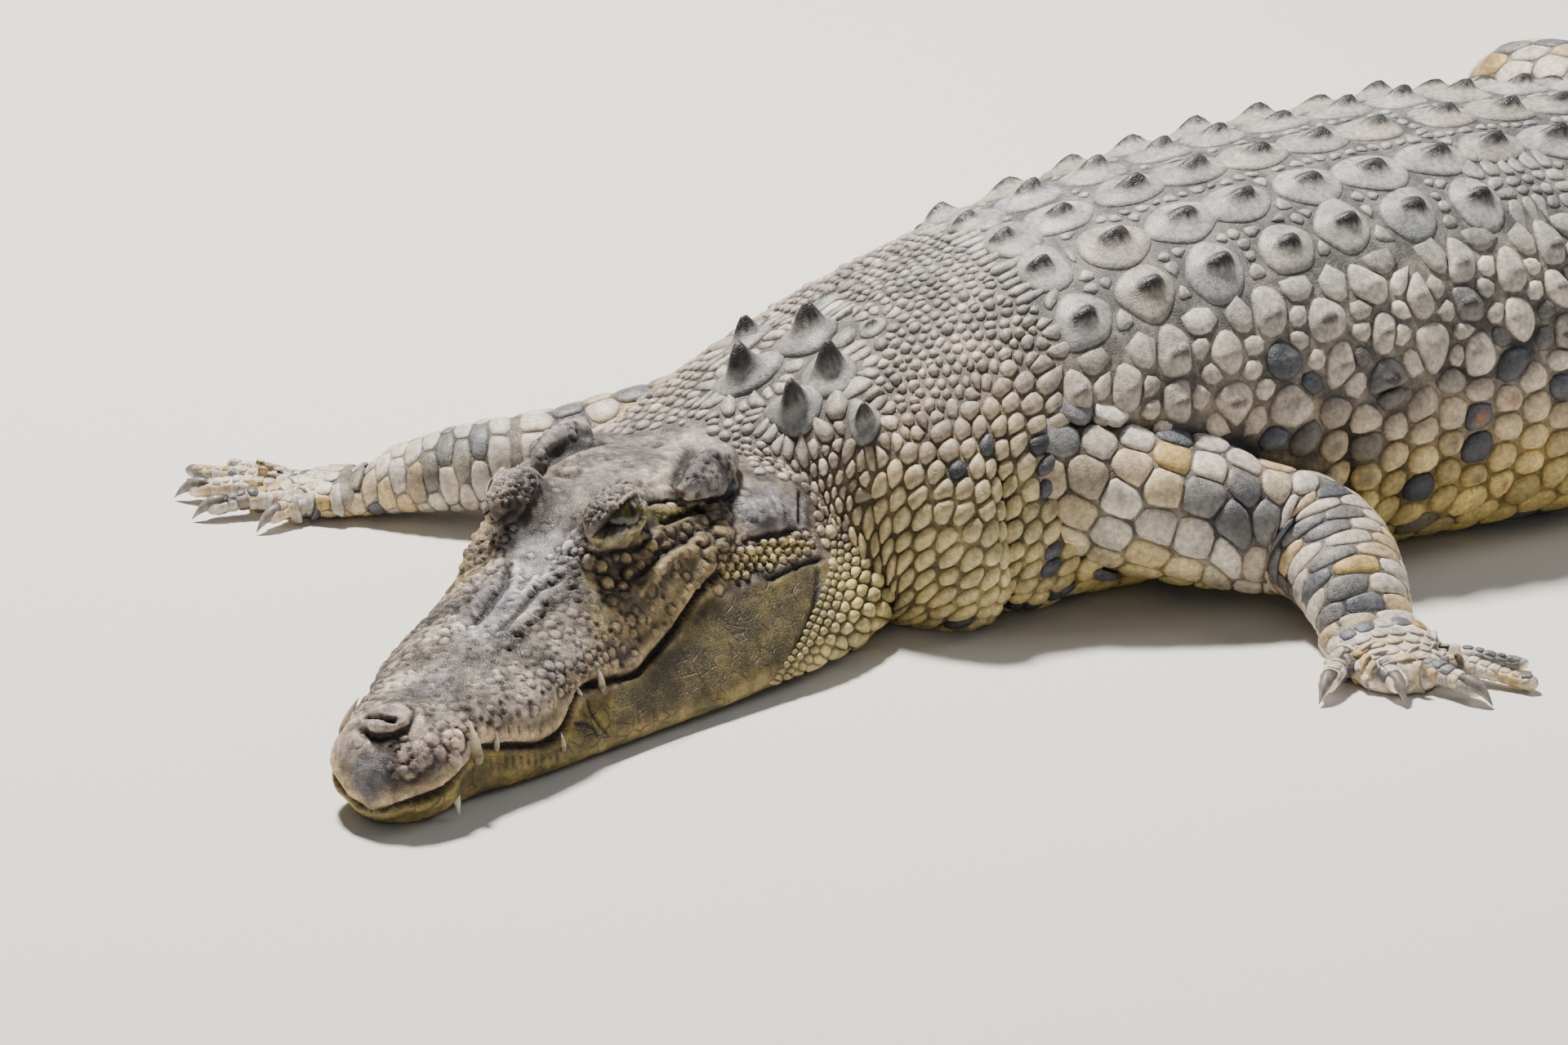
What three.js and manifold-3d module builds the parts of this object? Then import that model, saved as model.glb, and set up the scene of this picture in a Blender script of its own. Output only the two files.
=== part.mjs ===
// A saltwater crocodile, life size, lying flat on the ground with its head turned to its left.
// Millimetres, +Z up. The animal lies along Y with its snout towards -Y, and its left side is +X.
// Every part of the body is a closed loft through named sections; parts meet at thin cuts.
import * as THREE from "three";
import { mergeVertices } from "three/addons/utils/BufferGeometryUtils.js";
import Module from "manifold-3d";

const wasm = await Module();
wasm.setup();

// ---------- driving dimensions ----------
const HEAD_LENGTH = 446; // back of the skull table to the tip of the snout
const HEAD_TURN = 38; // degrees that the head is turned to the left of the trunk
const HEAD_AT = new THREE.Vector2(57, -194); // back of the skull table, seen from above
const NAPE = -0.14; // where the head meets the neck, in head lengths in front of the skull table's back
const TRUNK_HALF_WIDTH = 232;
const BACK_HEIGHT = 318;
const TAIL_START = 1215; // behind the nape
const TAIL_LENGTH = 1620;
const EYE_RADIUS = 18.5;
const CLAW_LENGTH = 27;
const CREST_WHORLS = 20; // rings of tall scales along the tail
const CUT = 0.4; // width of the thin cut between two parts

const BODY_SIDES = 16; // sides of a section of the body
const HEAD_SIDES = 9; // sides of the arch of a section of the head
const LIMB_SIDES = 8;
const DIGIT_SIDES = 5;
const PLATE_SIDES = 4;

const FINISHES = {
  hide: { color: 0x8f877a, roughness: 0.75 },
  underside: { color: 0xb5a777, roughness: 0.75 },
  tail: { color: 0x7d7668, roughness: 0.78 },
  limb: { color: 0xa39a80, roughness: 0.75 },
  claw: { color: 0x4a4640, roughness: 0.45 },
  eye: { color: 0x6d7034, roughness: 0.12 },
};

const rad = THREE.MathUtils.degToRad;
const UP = new THREE.Vector3(0, 0, 1);
const vec = (x, y, z) => new THREE.Vector3(x, y, z);

// ---------- solids ----------
/** A three.js geometry as a manifold-3d solid. */
function solid(geometry) {
  const bare = new THREE.BufferGeometry();
  bare.setAttribute("position", geometry.getAttribute("position"));
  bare.setIndex(geometry.getIndex());
  const merged = mergeVertices(bare, 1e-3);
  return new wasm.Manifold(
    new wasm.Mesh({
      numProp: 3,
      vertProperties: new Float32Array(merged.getAttribute("position").array),
      triVerts: new Uint32Array(merged.getIndex().array),
    }),
  );
}

/** The solid that several overlapping solids make together. */
const joined = (solids) => solids.reduce((whole, next) => whole.add(next));

/** The largest of the separate bodies a solid is made of. */
function largest(made) {
  return made.decompose().reduce((a, b) => (a.volume() > b.volume() ? a : b));
}

/** A solid cut flat where it stands on the ground. */
const grounded = (made) => made.trimByPlane([0, 0, 1], 0);

/** Closes a stack of rings, all with the same number of points, into one solid. */
function skinned(rings) {
  const sides = rings[0].length;
  const last = rings.length - 1;
  const points = rings.flat();
  const middle = (ring) => ring.reduce((sum, p) => sum.add(p), vec(0, 0, 0)).divideScalar(sides);
  points.push(middle(rings[0]), middle(rings[last]));
  const [front, back] = [points.length - 2, points.length - 1];
  const faces = [];
  for (let side = 0; side < sides; side++) {
    const next = (side + 1) % sides;
    for (let ring = 0; ring < last; ring++) {
      const [a, b] = [ring * sides + side, ring * sides + next];
      faces.push(a, b, b + sides, a, b + sides, a + sides);
    }
    faces.push(front, next, side);
    faces.push(back, last * sides + side, last * sides + next);
  }
  const geometry = new THREE.BufferGeometry().setFromPoints(points);
  const made = solid(geometry.setIndex(faces));
  return made.volume() > 0 ? made : solid(geometry.setIndex(faces.toReversed()));
}

// ---------- sections ----------
/** Smooth interpolation of a named value through stations sorted by their key `at`. */
function between(stations, name, at) {
  const above = stations.findIndex((station) => station.at > at);
  const i = above < 0 ? stations.length - 2 : Math.max(0, above - 1);
  const [p, q] = [stations[i], stations[i + 1]];
  const before = stations[i - 1] ?? p;
  const after = stations[i + 2] ?? q;
  const step = q.at - p.at;
  const slopeIn = (q[name] - before[name]) / (q.at - before.at);
  const slopeOut = (after[name] - p[name]) / (after.at - p.at);
  const t = THREE.MathUtils.clamp((at - p.at) / step, 0, 1);
  const h = t * t * (3 - 2 * t);
  const bend = slopeIn * t * (1 - t) ** 2 - slopeOut * t * t * (1 - t);
  return p[name] * (1 - h) + q[name] * h + step * bend;
}

/** All named values of the stations at one place. */
function sectionAt(stations, at) {
  const names = Object.keys(stations[0]).filter((name) => name !== "at");
  return Object.fromEntries(names.map((name) => [name, between(stations, name, at)]));
}

const power = (value, exponent) => Math.sign(value) * Math.abs(value) ** exponent;

/** `count + 1` places spread evenly from one to another. */
function spread(from, to, count) {
  return Array.from({ length: count + 1 }, (_, i) => from + ((to - from) * i) / count);
}

/** A full turn of angles for a ring. */
const turn = (sides) => Array.from({ length: sides }, (_, side) => (side / sides) * 2 * Math.PI);

// ---------- the head ----------
const headAhead = vec(Math.sin(rad(HEAD_TURN)), -Math.cos(rad(HEAD_TURN)), 0);
const headLeft = vec(Math.cos(rad(HEAD_TURN)), Math.sin(rad(HEAD_TURN)), 0);

/** A point given in head lengths: in front of the skull table's back, to the left, and up. */
function inHead(ahead, left, up) {
  return vec(HEAD_AT.x, HEAD_AT.y, 0)
    .addScaledVector(headAhead, ahead * HEAD_LENGTH)
    .addScaledVector(headLeft, left * HEAD_LENGTH)
    .setZ(up * HEAD_LENGTH);
}

// Skull and snout above the mouth line, in head lengths; `square` is 2 for an oval and more for a box.
const skullSections = [
  { at: NAPE, half: 0.285, top: 0.31, square: 2.5 },
  { at: -0.06, half: 0.28, top: 0.315, square: 2.7 },
  { at: 0.0, half: 0.272, top: 0.31, square: 2.8 },
  { at: 0.1, half: 0.258, top: 0.3, square: 2.7 },
  { at: 0.2, half: 0.24, top: 0.3, square: 2.5 },
  { at: 0.28, half: 0.222, top: 0.3, square: 2.3 },
  { at: 0.36, half: 0.204, top: 0.284, square: 2.2 },
  { at: 0.45, half: 0.186, top: 0.254, square: 2.2 },
  { at: 0.55, half: 0.174, top: 0.228, square: 2.3 },
  { at: 0.66, half: 0.174, top: 0.207, square: 2.4 },
  { at: 0.76, half: 0.145, top: 0.19, square: 2.5 },
  { at: 0.83, half: 0.112, top: 0.18, square: 2.5 },
  { at: 0.9, half: 0.122, top: 0.174, square: 2.6 },
  { at: 0.95, half: 0.106, top: 0.158, square: 2.6 },
  { at: 0.98, half: 0.072, top: 0.134, square: 2.4 },
  { at: 1.0, half: 0.025, top: 0.1, square: 2 },
];

// Lower jaw and jowl below the mouth line: half width at the lip and at the bulge of the jowl, how far
// the jowl leans to the left, and where the curve would end below the ground.
const jawSections = [
  { at: NAPE, lip: 0.285, half: 0.395, lean: 0.07, low: -0.14, square: 2.4 },
  { at: -0.04, lip: 0.28, half: 0.395, lean: 0.07, low: -0.14, square: 2.5 },
  { at: 0.06, lip: 0.266, half: 0.385, lean: 0.068, low: -0.13, square: 2.5 },
  { at: 0.16, lip: 0.248, half: 0.356, lean: 0.062, low: -0.12, square: 2.5 },
  { at: 0.3, lip: 0.22, half: 0.308, lean: 0.052, low: -0.1, square: 2.6 },
  { at: 0.45, lip: 0.184, half: 0.252, lean: 0.04, low: -0.09, square: 2.5 },
  { at: 0.6, lip: 0.165, half: 0.202, lean: 0.024, low: -0.07, square: 2.5 },
  { at: 0.72, lip: 0.146, half: 0.164, lean: 0.01, low: -0.06, square: 2.5 },
  { at: 0.82, lip: 0.108, half: 0.124, lean: 0, low: -0.03, square: 2.4 },
  { at: 0.9, lip: 0.1, half: 0.104, lean: 0, low: -0.012, square: 2.3 },
  { at: 0.95, lip: 0.08, half: 0.08, lean: 0, low: -0.006, square: 2.2 },
  { at: 0.98, lip: 0.04, half: 0.04, lean: 0, low: 0.006, square: 2 },
];
const JOWL_DEPTH = 0.45; // share of the jaw's depth over which it widens from lip to jowl

// Height of the line between the lips: it dips round the snout's tip and climbs to the corner of the mouth.
const mouthSections = [
  { at: NAPE, line: 0.235 },
  { at: 0.0, line: 0.23 },
  { at: 0.1, line: 0.214 },
  { at: 0.2, line: 0.184 },
  { at: 0.3, line: 0.152 },
  { at: 0.4, line: 0.136 },
  { at: 0.52, line: 0.13 },
  { at: 0.6, line: 0.124 },
  { at: 0.68, line: 0.113 },
  { at: 0.78, line: 0.113 },
  { at: 0.84, line: 0.122 },
  { at: 0.875, line: 0.08 },
  { at: 0.91, line: 0.05 },
  { at: 0.96, line: 0.036 },
  { at: 1.0, line: 0.034 },
];

// The raised plate of bone at the back of the skull.
const tableSections = [
  { at: -0.02, half: 0.15, top: 0.34 },
  { at: 0.01, half: 0.16, top: 0.35 },
  { at: 0.1, half: 0.146, top: 0.352 },
  { at: 0.2, half: 0.124, top: 0.35 },
  { at: 0.33, half: 0.096, top: 0.322 },
  { at: 0.4, half: 0.06, top: 0.28 },
];

const TABLE_FOOT = 0.25;

// Places of the rings of skull and jaw, closer together round the tip of the snout.
const HEAD_PLACES = [...spread(NAPE, 0.88, 15), ...[0.915, 0.945, 0.97, 0.986, 1.0]];

/** An arch of points over a level line (or under it) whose ends lie on the line itself. */
function arch(ahead, { half, square, lip = half, lean = 0 }, from, to) {
  return Array.from({ length: HEAD_SIDES + 1 }, (_, i) => {
    const angle = (i / HEAD_SIDES) * Math.PI;
    const rise = power(Math.sin(angle), 2 / square);
    const flare = Math.min(1, rise / JOWL_DEPTH);
    const wide = half * power(Math.cos(angle), 2 / square) * THREE.MathUtils.lerp(lip / half, 1, flare);
    return inHead(ahead, wide + lean * flare, from + (to - from) * rise);
  });
}

/** Skull and snout down to the mouth line. */
function skull() {
  const gap = CUT / 2 / HEAD_LENGTH;
  const rings = HEAD_PLACES.map((ahead) => {
    const section = sectionAt(skullSections, ahead);
    return arch(ahead, section, between(mouthSections, "line", ahead) + gap, section.top);
  });
  const table = skinned(
    spread(-0.02, 0.4, 5).map((ahead) => {
      const { half, top } = sectionAt(tableSections, ahead);
      return arch(ahead, { half, square: 5 }, TABLE_FOOT, top);
    }),
  );
  return joined([skinned(rings), table, ...[1, -1].map(brow), nostrils(), ...[1, -1].map(hump)]);
}

/** Lower jaw and jowl up to the mouth line. */
function jaw() {
  const gap = CUT / 2 / HEAD_LENGTH;
  const rings = HEAD_PLACES.slice(0, -1).map((ahead) => {
    const section = sectionAt(jawSections, ahead);
    return arch(ahead, section, between(mouthSections, "line", ahead) - gap, section.low);
  });
  return grounded(skinned(rings));
}

/** An ellipsoid in the head's own directions, sized and placed in head lengths. */
function bulge(at, size) {
  const ball = new THREE.SphereGeometry(1, 7, 5);
  ball.scale(size[0] * HEAD_LENGTH, size[1] * HEAD_LENGTH, size[2] * HEAD_LENGTH);
  ball.applyMatrix4(new THREE.Matrix4().makeBasis(headAhead, headLeft, UP));
  return solid(ball.translate(...inHead(...at)));
}

const EYE_AT = [0.32, 0.106, 0.338]; // ahead, out to the side, up

/** The ridge of bone and lid over an eye. */
const brow = (side) => bulge([EYE_AT[0], side * 0.098, 0.333], [0.085, 0.045, 0.052]);

/** The raised corner of the skull table over an ear. */
const hump = (side) => bulge([0.055, side * 0.148, 0.335], [0.08, 0.026, 0.045]);

/** The raised disc that carries both nostrils. */
const nostrils = () => bulge([0.905, 0, 0.163], [0.055, 0.052, 0.027]);

/** An eyeball, or the socket it sits in when made `proud`. */
function eyeball(side, proud = 0) {
  const ball = new THREE.SphereGeometry(EYE_RADIUS + proud, 8, 6);
  return solid(ball.translate(...inHead(EYE_AT[0], side * EYE_AT[1], EYE_AT[2])));
}

// Teeth that show outside the closed mouth: place, length and half width in head lengths.
const upperTeeth = [
  { at: 0.945, out: 0.09, length: 0.024, half: 0.009 },
  { at: 0.905, out: 0.113, length: 0.046, half: 0.012 },
];
const lowerTeeth = [
  { at: 0.835, out: 0.114, length: 0.046, half: 0.012 },
  { at: 0.788, out: 0.126, length: 0.028, half: 0.009 },
  { at: 0.668, out: 0.166, length: 0.024, half: 0.009 },
  { at: 0.605, out: 0.167, length: 0.03, half: 0.01 },
  { at: 0.535, out: 0.174, length: 0.034, half: 0.01 },
];

/** A row of teeth on both sides, pointing down from the skull (-1) or up from the jaw (1). */
function teeth(row, direction, proud = 0) {
  const grown = proud / HEAD_LENGTH;
  return row.flatMap(({ at, out, length, half }) =>
    [1, -1].map((side) => {
      const line = between(mouthSections, "line", at);
      const rings = spread(-0.5, 1, 2).map((share) => {
        const width = half * (1.05 - 0.8 * Math.max(0, share) ** 1.5) + grown;
        const up = line + direction * share * (length + grown);
        return turn(4).map((angle) =>
          inHead(at + width * Math.cos(angle), side * out + width * Math.sin(angle), up),
        );
      });
      return skinned(rings);
    }),
  );
}

// ---------- the line of the body ----------
const LEAD_IN = 0.08; // the line starts this far inside the head, in head lengths

// Seen from above: nape, neck, shoulders, trunk, hips and the tail's loose bend.
const bodyLine = new THREE.CatmullRomCurve3(
  [
    inHead(NAPE + LEAD_IN, 0.02, 0),
    inHead(NAPE, 0.02, 0),
    vec(3, -72, 0),
    vec(-5, 20, 0),
    vec(-3, 120, 0),
    vec(0, 240, 0),
    vec(0, 470, 0),
    vec(0, 760, 0),
    vec(4, 1000, 0),
    vec(26, 1230, 0),
    vec(92, 1480, 0),
    vec(160, 1740, 0),
    vec(170, 2010, 0),
    vec(96, 2280, 0),
    vec(-40, 2510, 0),
    vec(-170, 2650, 0),
  ],
  false,
  "centripetal",
);
bodyLine.arcLengthDivisions = 2000;
const LINE_LENGTH = bodyLine.getLength();

/** Place, left-hand direction and backward direction at a distance behind the nape. */
function bodyFrame(distance) {
  const share = THREE.MathUtils.clamp((distance + LEAD_IN * HEAD_LENGTH) / LINE_LENGTH, 0, 1);
  const along = bodyLine.getTangentAt(share).normalize();
  return { at: bodyLine.getPointAt(share), along, left: vec(along.y, -along.x, 0) };
}

const alongTail = (share) => TAIL_START + share * TAIL_LENGTH;

// Sections of the body by their distance behind the nape; the curve is cut flat at the ground. The
// throat and the side of the neck `lean` to the left, where the turned head pushes their skin out.
const bodySections = [
  { at: 0, half: 184, top: 140, low: -70, lean: 62, waist: 0.38, square: 2.4 },
  { at: 60, half: 202, top: 166, low: -66, lean: 62, waist: 0.36, square: 2.5 },
  { at: 140, half: 206, top: 208, low: -60, lean: 36, waist: 0.36, square: 2.5 },
  { at: 240, half: 207, top: 252, low: -60, lean: 6, waist: 0.36, square: 2.4 },
  { at: 370, half: 214, top: 290, low: -60, lean: 0, waist: 0.38, square: 2.3 },
  { at: 540, half: 228, top: 312, low: -60, lean: 0, waist: 0.4, square: 2.35 },
  { at: 720, half: TRUNK_HALF_WIDTH, top: BACK_HEIGHT, low: -60, lean: 0, waist: 0.4, square: 2.4 },
  { at: 880, half: 220, top: 310, low: -58, lean: 0, waist: 0.4, square: 2.4 },
  { at: 1040, half: 188, top: 278, low: -50, lean: 0, waist: 0.42, square: 2.3 },
  { at: alongTail(0), half: 136, top: 236, low: -40, lean: 0, waist: 0.45, square: 2.3 },
  { at: alongTail(0.16), half: 100, top: 198, low: -26, lean: 0, waist: 0.45, square: 2.5 },
  { at: alongTail(0.36), half: 66, top: 160, low: -14, lean: 0, waist: 0.42, square: 2.6 },
  { at: alongTail(0.58), half: 39, top: 126, low: -8, lean: 0, waist: 0.4, square: 2.5 },
  { at: alongTail(0.8), half: 20, top: 86, low: -4, lean: 0, waist: 0.38, square: 2.4 },
  { at: alongTail(0.94), half: 9, top: 44, low: -2, lean: 0, waist: 0.4, square: 2.2 },
  { at: alongTail(1), half: 3.5, top: 14, low: -1, lean: 0, waist: 0.5, square: 2 },
];

/** One ring of the body, `proud` millimetres outside its surface. */
function bodyRing(distance, proud) {
  const { at, left } = bodyFrame(distance);
  const { half, top, low, lean, waist, square } = sectionAt(bodySections, distance);
  const middle = low + (top - low) * waist;
  return turn(BODY_SIDES).map((angle) => {
    const sag = lean * (1 - Math.max(0, Math.sin(angle)));
    const across = (half + proud) * power(Math.cos(angle), 2 / square) + sag;
    const reach = Math.sin(angle) > 0 ? top + proud - middle : middle - low;
    const up = middle + reach * power(Math.sin(angle), 2 / square);
    return at.clone().addScaledVector(left, across).setZ(up);
  });
}

/** A length of the body between two distances behind the nape. */
function bodyLength(from, to, rings, proud = 0) {
  const made = skinned(spread(from + CUT / 2, to - CUT / 2, rings).map((s) => bodyRing(s, proud)));
  return grounded(made);
}

/** What is left of a solid behind the plane where the head ends. */
function behindNape(made) {
  const plane = inHead(NAPE, 0, 0).dot(headAhead) - CUT;
  return made.trimByPlane(headAhead.clone().negate().toArray(), -plane);
}

/** A pointed, keeled plate that stands on the body's back: `aside` millimetres left of its line. */
function plate(distance, aside, { long, wide, tall, sunk = 12 }) {
  const { at, along, left } = bodyFrame(distance);
  const { half, top, low, waist, square } = sectionAt(bodySections, distance);
  const middle = low + (top - low) * waist;
  const drop = (1 - Math.abs(aside / half) ** square) ** (1 / square);
  const surface = middle + (top - middle) * drop;
  const outline = (width, up, lean) =>
    turn(PLATE_SIDES).map((angle) =>
      at
        .clone()
        .addScaledVector(left, aside + 0.5 * wide * width * Math.sin(angle))
        .addScaledVector(along, 0.5 * long * width * Math.cos(angle) + lean * long)
        .setZ(surface + up),
    );
  return skinned([outline(1, -sunk, 0), outline(0.86, 0.15 * tall, 0), outline(0.12, tall, 0.2)]);
}

/** The great plates of the nape: four in a square, with a smaller one on either side. */
function nuchalPlates() {
  const big = { long: 78, wide: 58, tall: 36 };
  const small = { long: 56, wide: 42, tall: 26 };
  return [
    plate(54, 62, big),
    plate(64, -12, big),
    plate(102, 56, big),
    plate(122, -6, { ...big, tall: 30 }),
    plate(94, 116, small),
    plate(100, -68, small),
  ];
}

/** The tall scales along a length of the tail: two rows that draw together into one. */
function crest(from, to) {
  return spread(0, 1, CREST_WHORLS).flatMap((share) => {
    const distance = alongTail(share * 0.95);
    if (distance < from + 22 || distance > to - 22) return [];
    const apart = share < 0.42 ? 0.55 * between(bodySections, "half", distance) * (1 - share / 0.52) : 0;
    const tall = 20 + 34 * Math.sin(Math.PI * Math.min(1, share + 0.12)) ** 1.5;
    const size = { long: 46 - 18 * share, wide: 11 - 5 * share, tall };
    const places = apart > 6 ? [apart, -apart] : [0];
    return places.map((aside) => plate(distance, aside, size));
  });
}

// ---------- the limbs ----------
/** Rings across a smooth path through stations that give a place, a half width and a half depth. */
function limbLoft(stations, { rings = 5, sides = LIMB_SIDES, proud = 0 } = {}) {
  const path = new THREE.CatmullRomCurve3(
    stations.map((station) => vec(...station.place)),
    false,
    "centripetal",
  );
  const sizes = stations.map(({ wide, deep }, at) => ({ at, wide, deep }));
  return skinned(
    spread(0, 1, rings).map((share) => {
      const { wide, deep } = sectionAt(sizes, share * (stations.length - 1));
      const ahead = path.getTangent(share).normalize();
      const across = UP.clone().cross(ahead).normalize();
      const over = ahead.clone().cross(across);
      const end = share === 0 ? -proud : share === 1 ? proud : 0;
      return turn(sides).map((angle) =>
        path
          .getPoint(share)
          .addScaledVector(ahead, end)
          .addScaledVector(across, (wide + proud) * Math.cos(angle))
          .addScaledVector(over, (deep + proud) * Math.sin(angle)),
      );
    }),
  );
}

// Each limb: the stations of its two long parts, the heel or palm, and the tips of its digits.
const limbs = {
  arm_left: {
    upper: [
      { place: [120, 100, 116], wide: 78, deep: 70 },
      { place: [172, 172, 92], wide: 78, deep: 66 },
      { place: [214, 248, 72], wide: 70, deep: 62 },
      { place: [236, 304, 60], wide: 58, deep: 56 },
      { place: [246, 342, 54], wide: 28, deep: 28 },
    ],
    lower: [
      { place: [216, 304, 58], wide: 48, deep: 46 },
      { place: [260, 308, 56], wide: 58, deep: 50 },
      { place: [318, 296, 42], wide: 54, deep: 38 },
      { place: [360, 286, 28], wide: 49, deep: 28 },
      { place: [384, 281, 22], wide: 46, deep: 22 },
    ],
    palm: { from: [368, 284, 20], to: [416, 278, 11], wide: 47, deep: 16 },
    digits: [
      { root: [388, 252], tip: [438, 194], thick: 10, claw: true },
      { root: [408, 264], tip: [470, 254], thick: 10, claw: true },
      { root: [412, 284], tip: [500, 314], thick: 10, claw: true },
      { root: [406, 302], tip: [484, 360], thick: 8, claw: false },
      { root: [394, 312], tip: [446, 378], thick: 7, claw: false },
    ],
  },
  arm_right: {
    upper: [
      { place: [-108, 30, 98], wide: 66, deep: 60 },
      { place: [-155, -50, 72], wide: 62, deep: 54 },
      { place: [-185, -125, 54], wide: 56, deep: 50 },
      { place: [-204, -182, 46], wide: 50, deep: 44 },
      { place: [-212, -214, 43], wide: 26, deep: 26 },
    ],
    lower: [
      { place: [-192, -172, 54], wide: 40, deep: 40 },
      { place: [-214, -214, 50], wide: 46, deep: 42 },
      { place: [-246, -262, 38], wide: 42, deep: 33 },
      { place: [-276, -304, 26], wide: 38, deep: 25 },
      { place: [-288, -322, 21], wide: 37, deep: 21 },
    ],
    palm: { from: [-280, -312, 20], to: [-318, -352, 11], wide: 40, deep: 16 },
    digits: [
      { root: [-290, -348], tip: [-266, -412], thick: 10, claw: true },
      { root: [-308, -358], tip: [-320, -450], thick: 10, claw: true },
      { root: [-322, -356], tip: [-376, -446], thick: 10, claw: true },
      { root: [-332, -344], tip: [-420, -414], thick: 8, claw: false },
      { root: [-334, -330], tip: [-422, -376], thick: 7, claw: false },
    ],
  },
  leg_left: {
    upper: [
      { place: [100, 1020, 132], wide: 88, deep: 88 },
      { place: [190, 1000, 134], wide: 84, deep: 84 },
      { place: [274, 966, 132], wide: 74, deep: 76 },
      { place: [344, 930, 126], wide: 60, deep: 64 },
      { place: [380, 910, 122], wide: 28, deep: 34 },
    ],
    lower: [
      { place: [330, 926, 122], wide: 48, deep: 54 },
      { place: [366, 950, 112], wide: 56, deep: 58 },
      { place: [392, 1020, 80], wide: 50, deep: 50 },
      { place: [406, 1094, 44], wide: 40, deep: 36 },
      { place: [414, 1130, 32], wide: 36, deep: 28 },
    ],
    palm: { from: [408, 1112, 30], to: [496, 1126, 13], wide: 50, deep: 20 },
    digits: [
      { root: [476, 1092], tip: [594, 1030], thick: 12, claw: true },
      { root: [492, 1112], tip: [630, 1084], thick: 12, claw: true },
      { root: [496, 1134], tip: [636, 1154], thick: 12, claw: true },
      { root: [486, 1156], tip: [600, 1218], thick: 9, claw: false },
    ],
  },
  leg_right: {
    upper: [
      { place: [-100, 1010, 140], wide: 88, deep: 88 },
      { place: [-200, 976, 160], wide: 84, deep: 84 },
      { place: [-300, 944, 178], wide: 76, deep: 74 },
      { place: [-390, 918, 182], wide: 62, deep: 60 },
      { place: [-430, 908, 178], wide: 28, deep: 32 },
    ],
    lower: [
      { place: [-380, 914, 174], wide: 46, deep: 50 },
      { place: [-420, 940, 162], wide: 60, deep: 60 },
      { place: [-460, 1004, 108], wide: 52, deep: 50 },
      { place: [-482, 1066, 50], wide: 41, deep: 36 },
      { place: [-490, 1102, 33], wide: 36, deep: 28 },
    ],
    palm: { from: [-482, 1084, 30], to: [-568, 1106, 13], wide: 50, deep: 20 },
    digits: [
      { root: [-550, 1070], tip: [-670, 1018], thick: 12, claw: true },
      { root: [-564, 1092], tip: [-702, 1072], thick: 12, claw: true },
      { root: [-568, 1114], tip: [-706, 1142], thick: 12, claw: true },
      { root: [-556, 1136], tip: [-668, 1204], thick: 9, claw: false },
    ],
  },
};

/** The unit vector along a digit, seen from above. */
const digitAhead = ({ root, tip }) => vec(tip[0] - root[0], tip[1] - root[1], 0).normalize();

/** A point on a digit's line, `back` millimetres before its tip. */
function onDigit(digit, back, up) {
  return vec(digit.tip[0], digit.tip[1], up).addScaledVector(digitAhead(digit), -back);
}

/** A toe or finger with a slight arch, from the palm to the root of its claw. */
function digitFlesh(digit, height) {
  const { root, thick, claw } = digit;
  const end = claw ? CLAW_LENGTH - 4 : 0;
  const length = Math.hypot(digit.tip[0] - root[0], digit.tip[1] - root[1]);
  return limbLoft(
    [
      { place: [root[0], root[1], height], wide: thick * 1.15, deep: thick * 1.1 },
      { place: [...onDigit(digit, length * 0.55, thick * 1.25)], wide: thick * 1.1, deep: thick * 1.1 },
      { place: [...onDigit(digit, end + thick, thick * 0.9)], wide: thick * 0.95, deep: thick * 0.9 },
      { place: [...onDigit(digit, end, thick * 0.7)], wide: thick * 0.55, deep: thick * 0.55 },
    ],
    { rings: 3, sides: DIGIT_SIDES },
  );
}

/** A claw that bends down to the ground, or the hole its root fills when made `proud`. */
function clawSolid(digit, proud = 0) {
  const size = digit.thick * 0.5;
  return limbLoft(
    [
      { place: [...onDigit(digit, CLAW_LENGTH + 2, size * 1.9)], wide: size * 1.15, deep: size * 1.3 },
      { place: [...onDigit(digit, CLAW_LENGTH * 0.6, size * 2.1)], wide: size, deep: size * 1.15 },
      { place: [...onDigit(digit, CLAW_LENGTH * 0.25, size * 1.4)], wide: size * 0.62, deep: size * 0.7 },
      { place: [...onDigit(digit, 0, size * 0.35)], wide: 0.9, deep: 1 },
    ],
    { rings: 2, sides: DIGIT_SIDES, proud },
  );
}

/** Palm or sole with its digits and the skin between their roots. */
function handSolid({ palm, digits }) {
  const { from, to, wide, deep } = palm;
  const middle = from.map((value, i) => (value + to[i]) / 2);
  const flesh = limbLoft(
    [
      { place: from, wide: wide * 0.86, deep },
      { place: middle, wide, deep: deep * 0.9 },
      { place: to, wide: wide * 0.96, deep: deep * 0.62 },
      { place: to.map((v, i) => v + (v - from[i]) * 0.12), wide: wide * 0.6, deep: deep * 0.3 },
    ],
    { rings: 3 },
  );
  return joined([flesh, ...digits.map((digit) => digitFlesh(digit, to[2]))]);
}

// ---------- assembly ----------
const group = new THREE.Group();
group.name = "saltwater_crocodile";

/** Adds a finished solid to the group as a named mesh. */
function add(name, made, finish) {
  const mesh = made.getMesh();
  const geometry = new THREE.BufferGeometry();
  geometry.setAttribute("position", new THREE.BufferAttribute(mesh.vertProperties, 3));
  geometry.setIndex(new THREE.BufferAttribute(mesh.triVerts, 1));
  geometry.computeVertexNormals();
  const material = new THREE.MeshStandardMaterial({ ...FINISHES[finish], metalness: 0 });
  const shown = new THREE.Mesh(geometry, material);
  shown.name = name;
  group.add(shown);
}

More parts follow.
